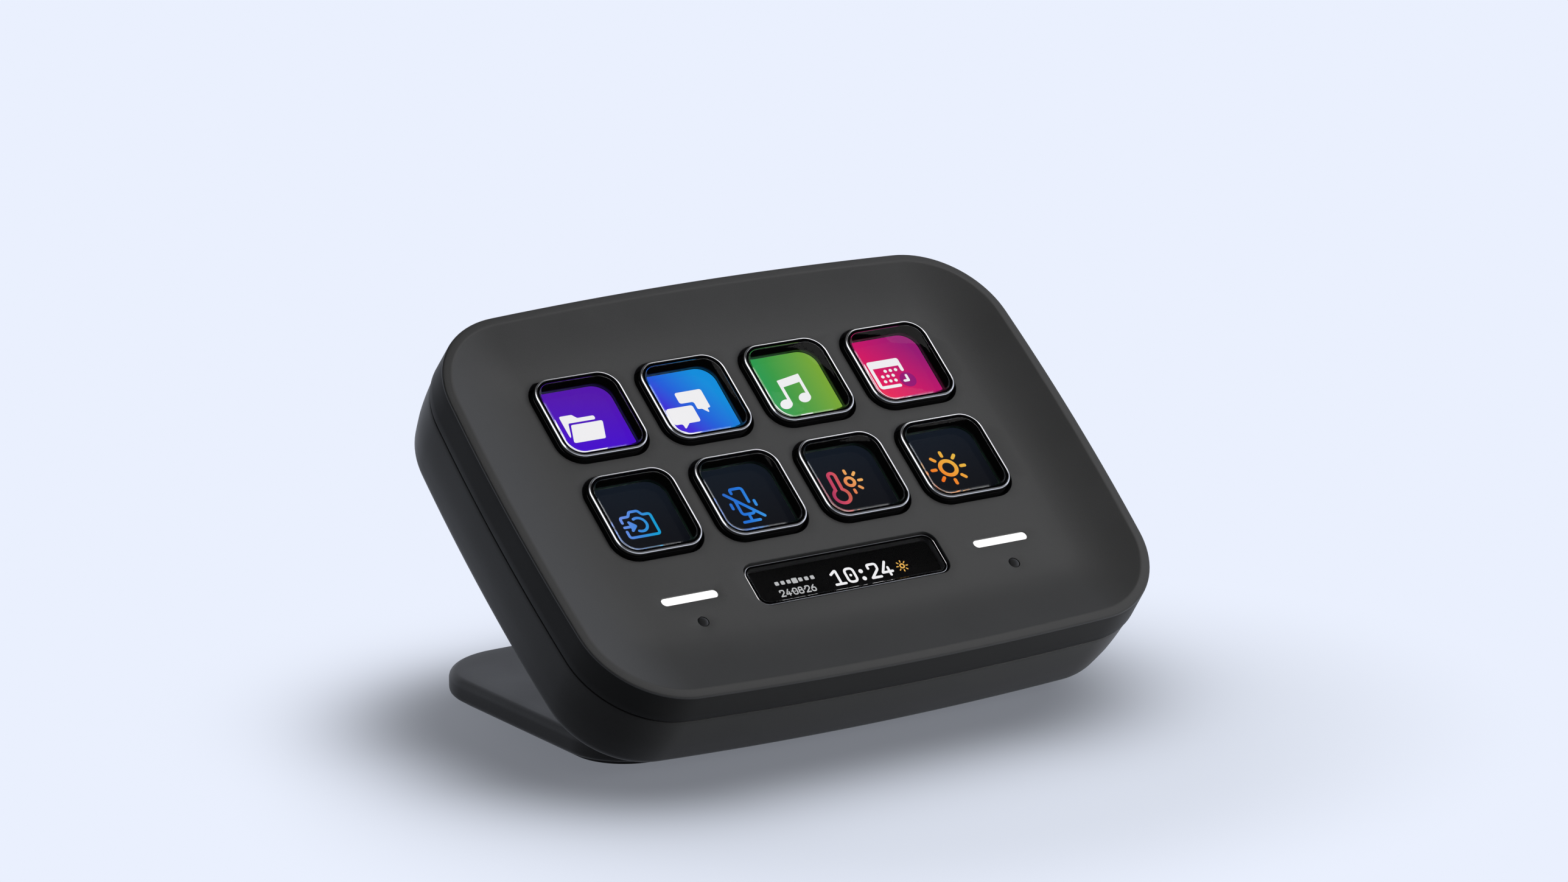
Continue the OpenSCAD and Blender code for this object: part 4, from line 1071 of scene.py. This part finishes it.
def backdrop():
    """Pale world for what looks past the object, and a dimmer even light from it. Mirrored, it
    has a dark ceiling and a dark screen in front."""
    world = bpy.data.worlds.new("studio")
    bpy.context.scene.world = world
    world.use_nodes = True
    tree = world.node_tree
    base = tree.nodes["Background"]
    wire(tree, base, {"Color": DOME_COLOUR, "Strength": DOME_STRENGTH})
    toward = node(tree, "TexCoord", out="Generated")
    front, height = [node(tree, "SeparateXYZ", toward, out=axis) for axis in "YZ"]
    above = node(tree, "MapRange", height, CEILING_START, CEILING_FULL, interpolation_type="SMOOTHSTEP")
    sky = (*BACKDROP, 1)
    for share in (above, screen(tree, front, SCREEN_SKY)):
        sky = node(tree, "Mix", data_type="RGBA", Factor=share, A=sky, B=CEILING, out="Result")
    seen = node(tree, "Background", sky, 1.0)
    mix = node(tree, "MixShader", seen_rays(tree), base.outputs[0], seen)
    wire(tree, tree.nodes["World Output"], {0: mix})


def floor():
    """Pale floor that fades into the backdrop further out. It takes the object's shadow, and a
    painted soft shadow of its own, a bell curve of the distance past a small rectangle under the object."""
    mesh = bpy.data.meshes.new("studio_floor")
    corners = [(x, y, -0.0001) for x, y in ((-3, -3), (3, -3), (3, 3), (-3, 3))]
    mesh.from_pydata(corners, [], [(0, 1, 2, 3)])
    material, tree, surface = shader("floor_paper")
    tree.nodes.remove(surface)
    place = node(tree, "TexCoord", out="Object")
    centre = node(tree, "Mapping", place, Location=(0.0, 0.040, 0), Scale=(1.0, 1.25, 1.0))
    length = node(tree, "VectorMath", centre, operation="LENGTH", out="Value")
    fade = node(tree, "MapRange", length, FADE_START, FADE_FULL, FADE_LEAST,
                interpolation_type="SMOOTHSTEP")
    # Painted soft shadow: the floor is darkened by a bell curve of the distance past a rectangle under the
    # object
    work = node(tree, "Mapping", place, Location=(0.0075, 0.001, 0))
    for step, *amount in (("ABSOLUTE",), ("SUBTRACT", PAINTED_SHADOW_CORE), ("MAXIMUM", (0, 0, 0))):
        work = node(tree, "VectorMath", work, *amount, operation=step)
    work = node(tree, "VectorMath", work, operation="LENGTH", out="Value")
    for step, *amount in (("SUBTRACT", PAINTED_SHADOW_EDGE), ("MAXIMUM", 0.0), ("DIVIDE", PAINTED_SHADOW_EDGE),
                          ("POWER", 2.0), ("MULTIPLY", -1.0), ("EXPONENT",), ("MULTIPLY", -PAINTED_SHADOW_DEPTH),
                          ("ADD", 1.0)):
        work = node(tree, "Math", work, *amount, operation=step)
    # Mirrored, the painted shadow keeps a least brightness
    mirrored = node(tree, "LightPath", out="Is Glossy Ray")
    shade, share = [node(tree, "Math", node(tree, "Math", mirrored, least, operation="MULTIPLY"), other,
                         operation="MAXIMUM")
                    for least, other in ((MIRRORED_SHADE, work), (MIRRORED_SHARE, fade))]
    ahead = screen(tree, node(tree, "SeparateXYZ", place, out="Y"), SCREEN_FLOOR)
    shade = node(tree, "Math", shade, node(tree, "Math", 1.0, ahead, operation="SUBTRACT"),
                 operation="MULTIPLY")
    seen = seen_rays(tree)
    tone = node(tree, "Mix", data_type="RGBA", Factor=seen, A=PAPER_LIGHT, B=PAPER_SEEN, out="Result")
    paper = node(tree, "BsdfDiffuse", node(tree, "VectorMath", tone, operation="SCALE", Scale=shade))
    glow = node(tree, "Emission", node(tree, "VectorMath", BACKDROP, operation="SCALE", Scale=shade), 1.0)
    mix = node(tree, "MixShader", node(tree, "Math", seen, share, operation="MULTIPLY"), paper, glow)
    wire(tree, tree.nodes["Material Output"], {0: mix})
    mesh.materials.append(material)
    ground = bpy.data.objects.new("studio_floor", mesh)
    bpy.context.scene.collection.objects.link(ground)


def facing(right, up, at):
    """Matrix that sets an object at a place, with its own right and up in given directions."""
    turn = np.stack([right, up, np.cross(right, up)], 1)
    return Matrix.Translation(at) @ Matrix(turn.tolist()).to_4x4()


def lamp(name, at, size, power, look=0.03, mirrored=True, only=()):
    """A square soft lamp that faces a height on the middle line. Polished surfaces mirror it or
    not, and it lights every piece or only some."""
    data = bpy.data.lights.new(name, "AREA")
    data.size, data.energy = size, power
    made = bpy.data.objects.new(name, data)
    away = np.array(at) - (0, 0, look)
    away /= np.linalg.norm(away)
    right = np.cross((0, 0, 1), away)
    right /= np.linalg.norm(right)
    made.matrix_world = facing(right, np.cross(away, right), at)
    made.visible_glossy = mirrored
    if only:
        lighted = bpy.data.collections.new(name + "_pieces")
        for piece in only:
            lighted.objects.link(bpy.data.objects[piece])
        made.light_linking.receiver_collection = lighted
    bpy.context.scene.collection.objects.link(made)


def camera():
    """Long lens, from the front left and a little above."""
    data = bpy.data.cameras.new("view")
    data.lens, data.sensor_width = 153.70, 36.0
    data.clip_start, data.clip_end = 0.01, 20
    made = bpy.data.objects.new("view", data)
    made.matrix_world = facing((0.82791, -0.560852, 0.000679), (0.14397, 0.213683, 0.966238),
                               np.array([-568.027, -838.563, 311.551]) * MM)
    bpy.context.scene.collection.objects.link(made)
    bpy.context.scene.camera = made


backdrop()
floor()
lamp("top_soft", (0.25, -0.10, 1.10), 1.85, 1.5, 0.02, mirrored=False)
lamp("right_soft", (0.75, -0.62, 0.42), 0.45, 5.6, mirrored=False)
lamp("front_low", (0.55, -0.75, 0.15), 0.40, 4.2, mirrored=False)
lamp("gloss_soft", (0.58, -0.16, 0.92), 0.42, 1.15, only=("front_face", "back_case"))
lamp("rear_low", (0.25, 1.00, 0.14), 0.60, 6.0, mirrored=False)
lamp("left_rear", (-0.9, 0.45, 0.30), 0.30, 0.3)
windows = ["key_window_%d" % n for n in range(1, 9)]
sleeves = ["key_sleeve_%d" % n for n in range(1, 9)]
lamp("rim_soft", (-0.50, -0.05, 0.90), 0.80, 3.0, only=windows + sleeves + ["info_glass"])
lamp("rim_far", (0.66, 0.28, 0.73), 0.50, 0.8, only=windows)
camera()
bpy.context.scene.view_settings.view_transform = "Standard"
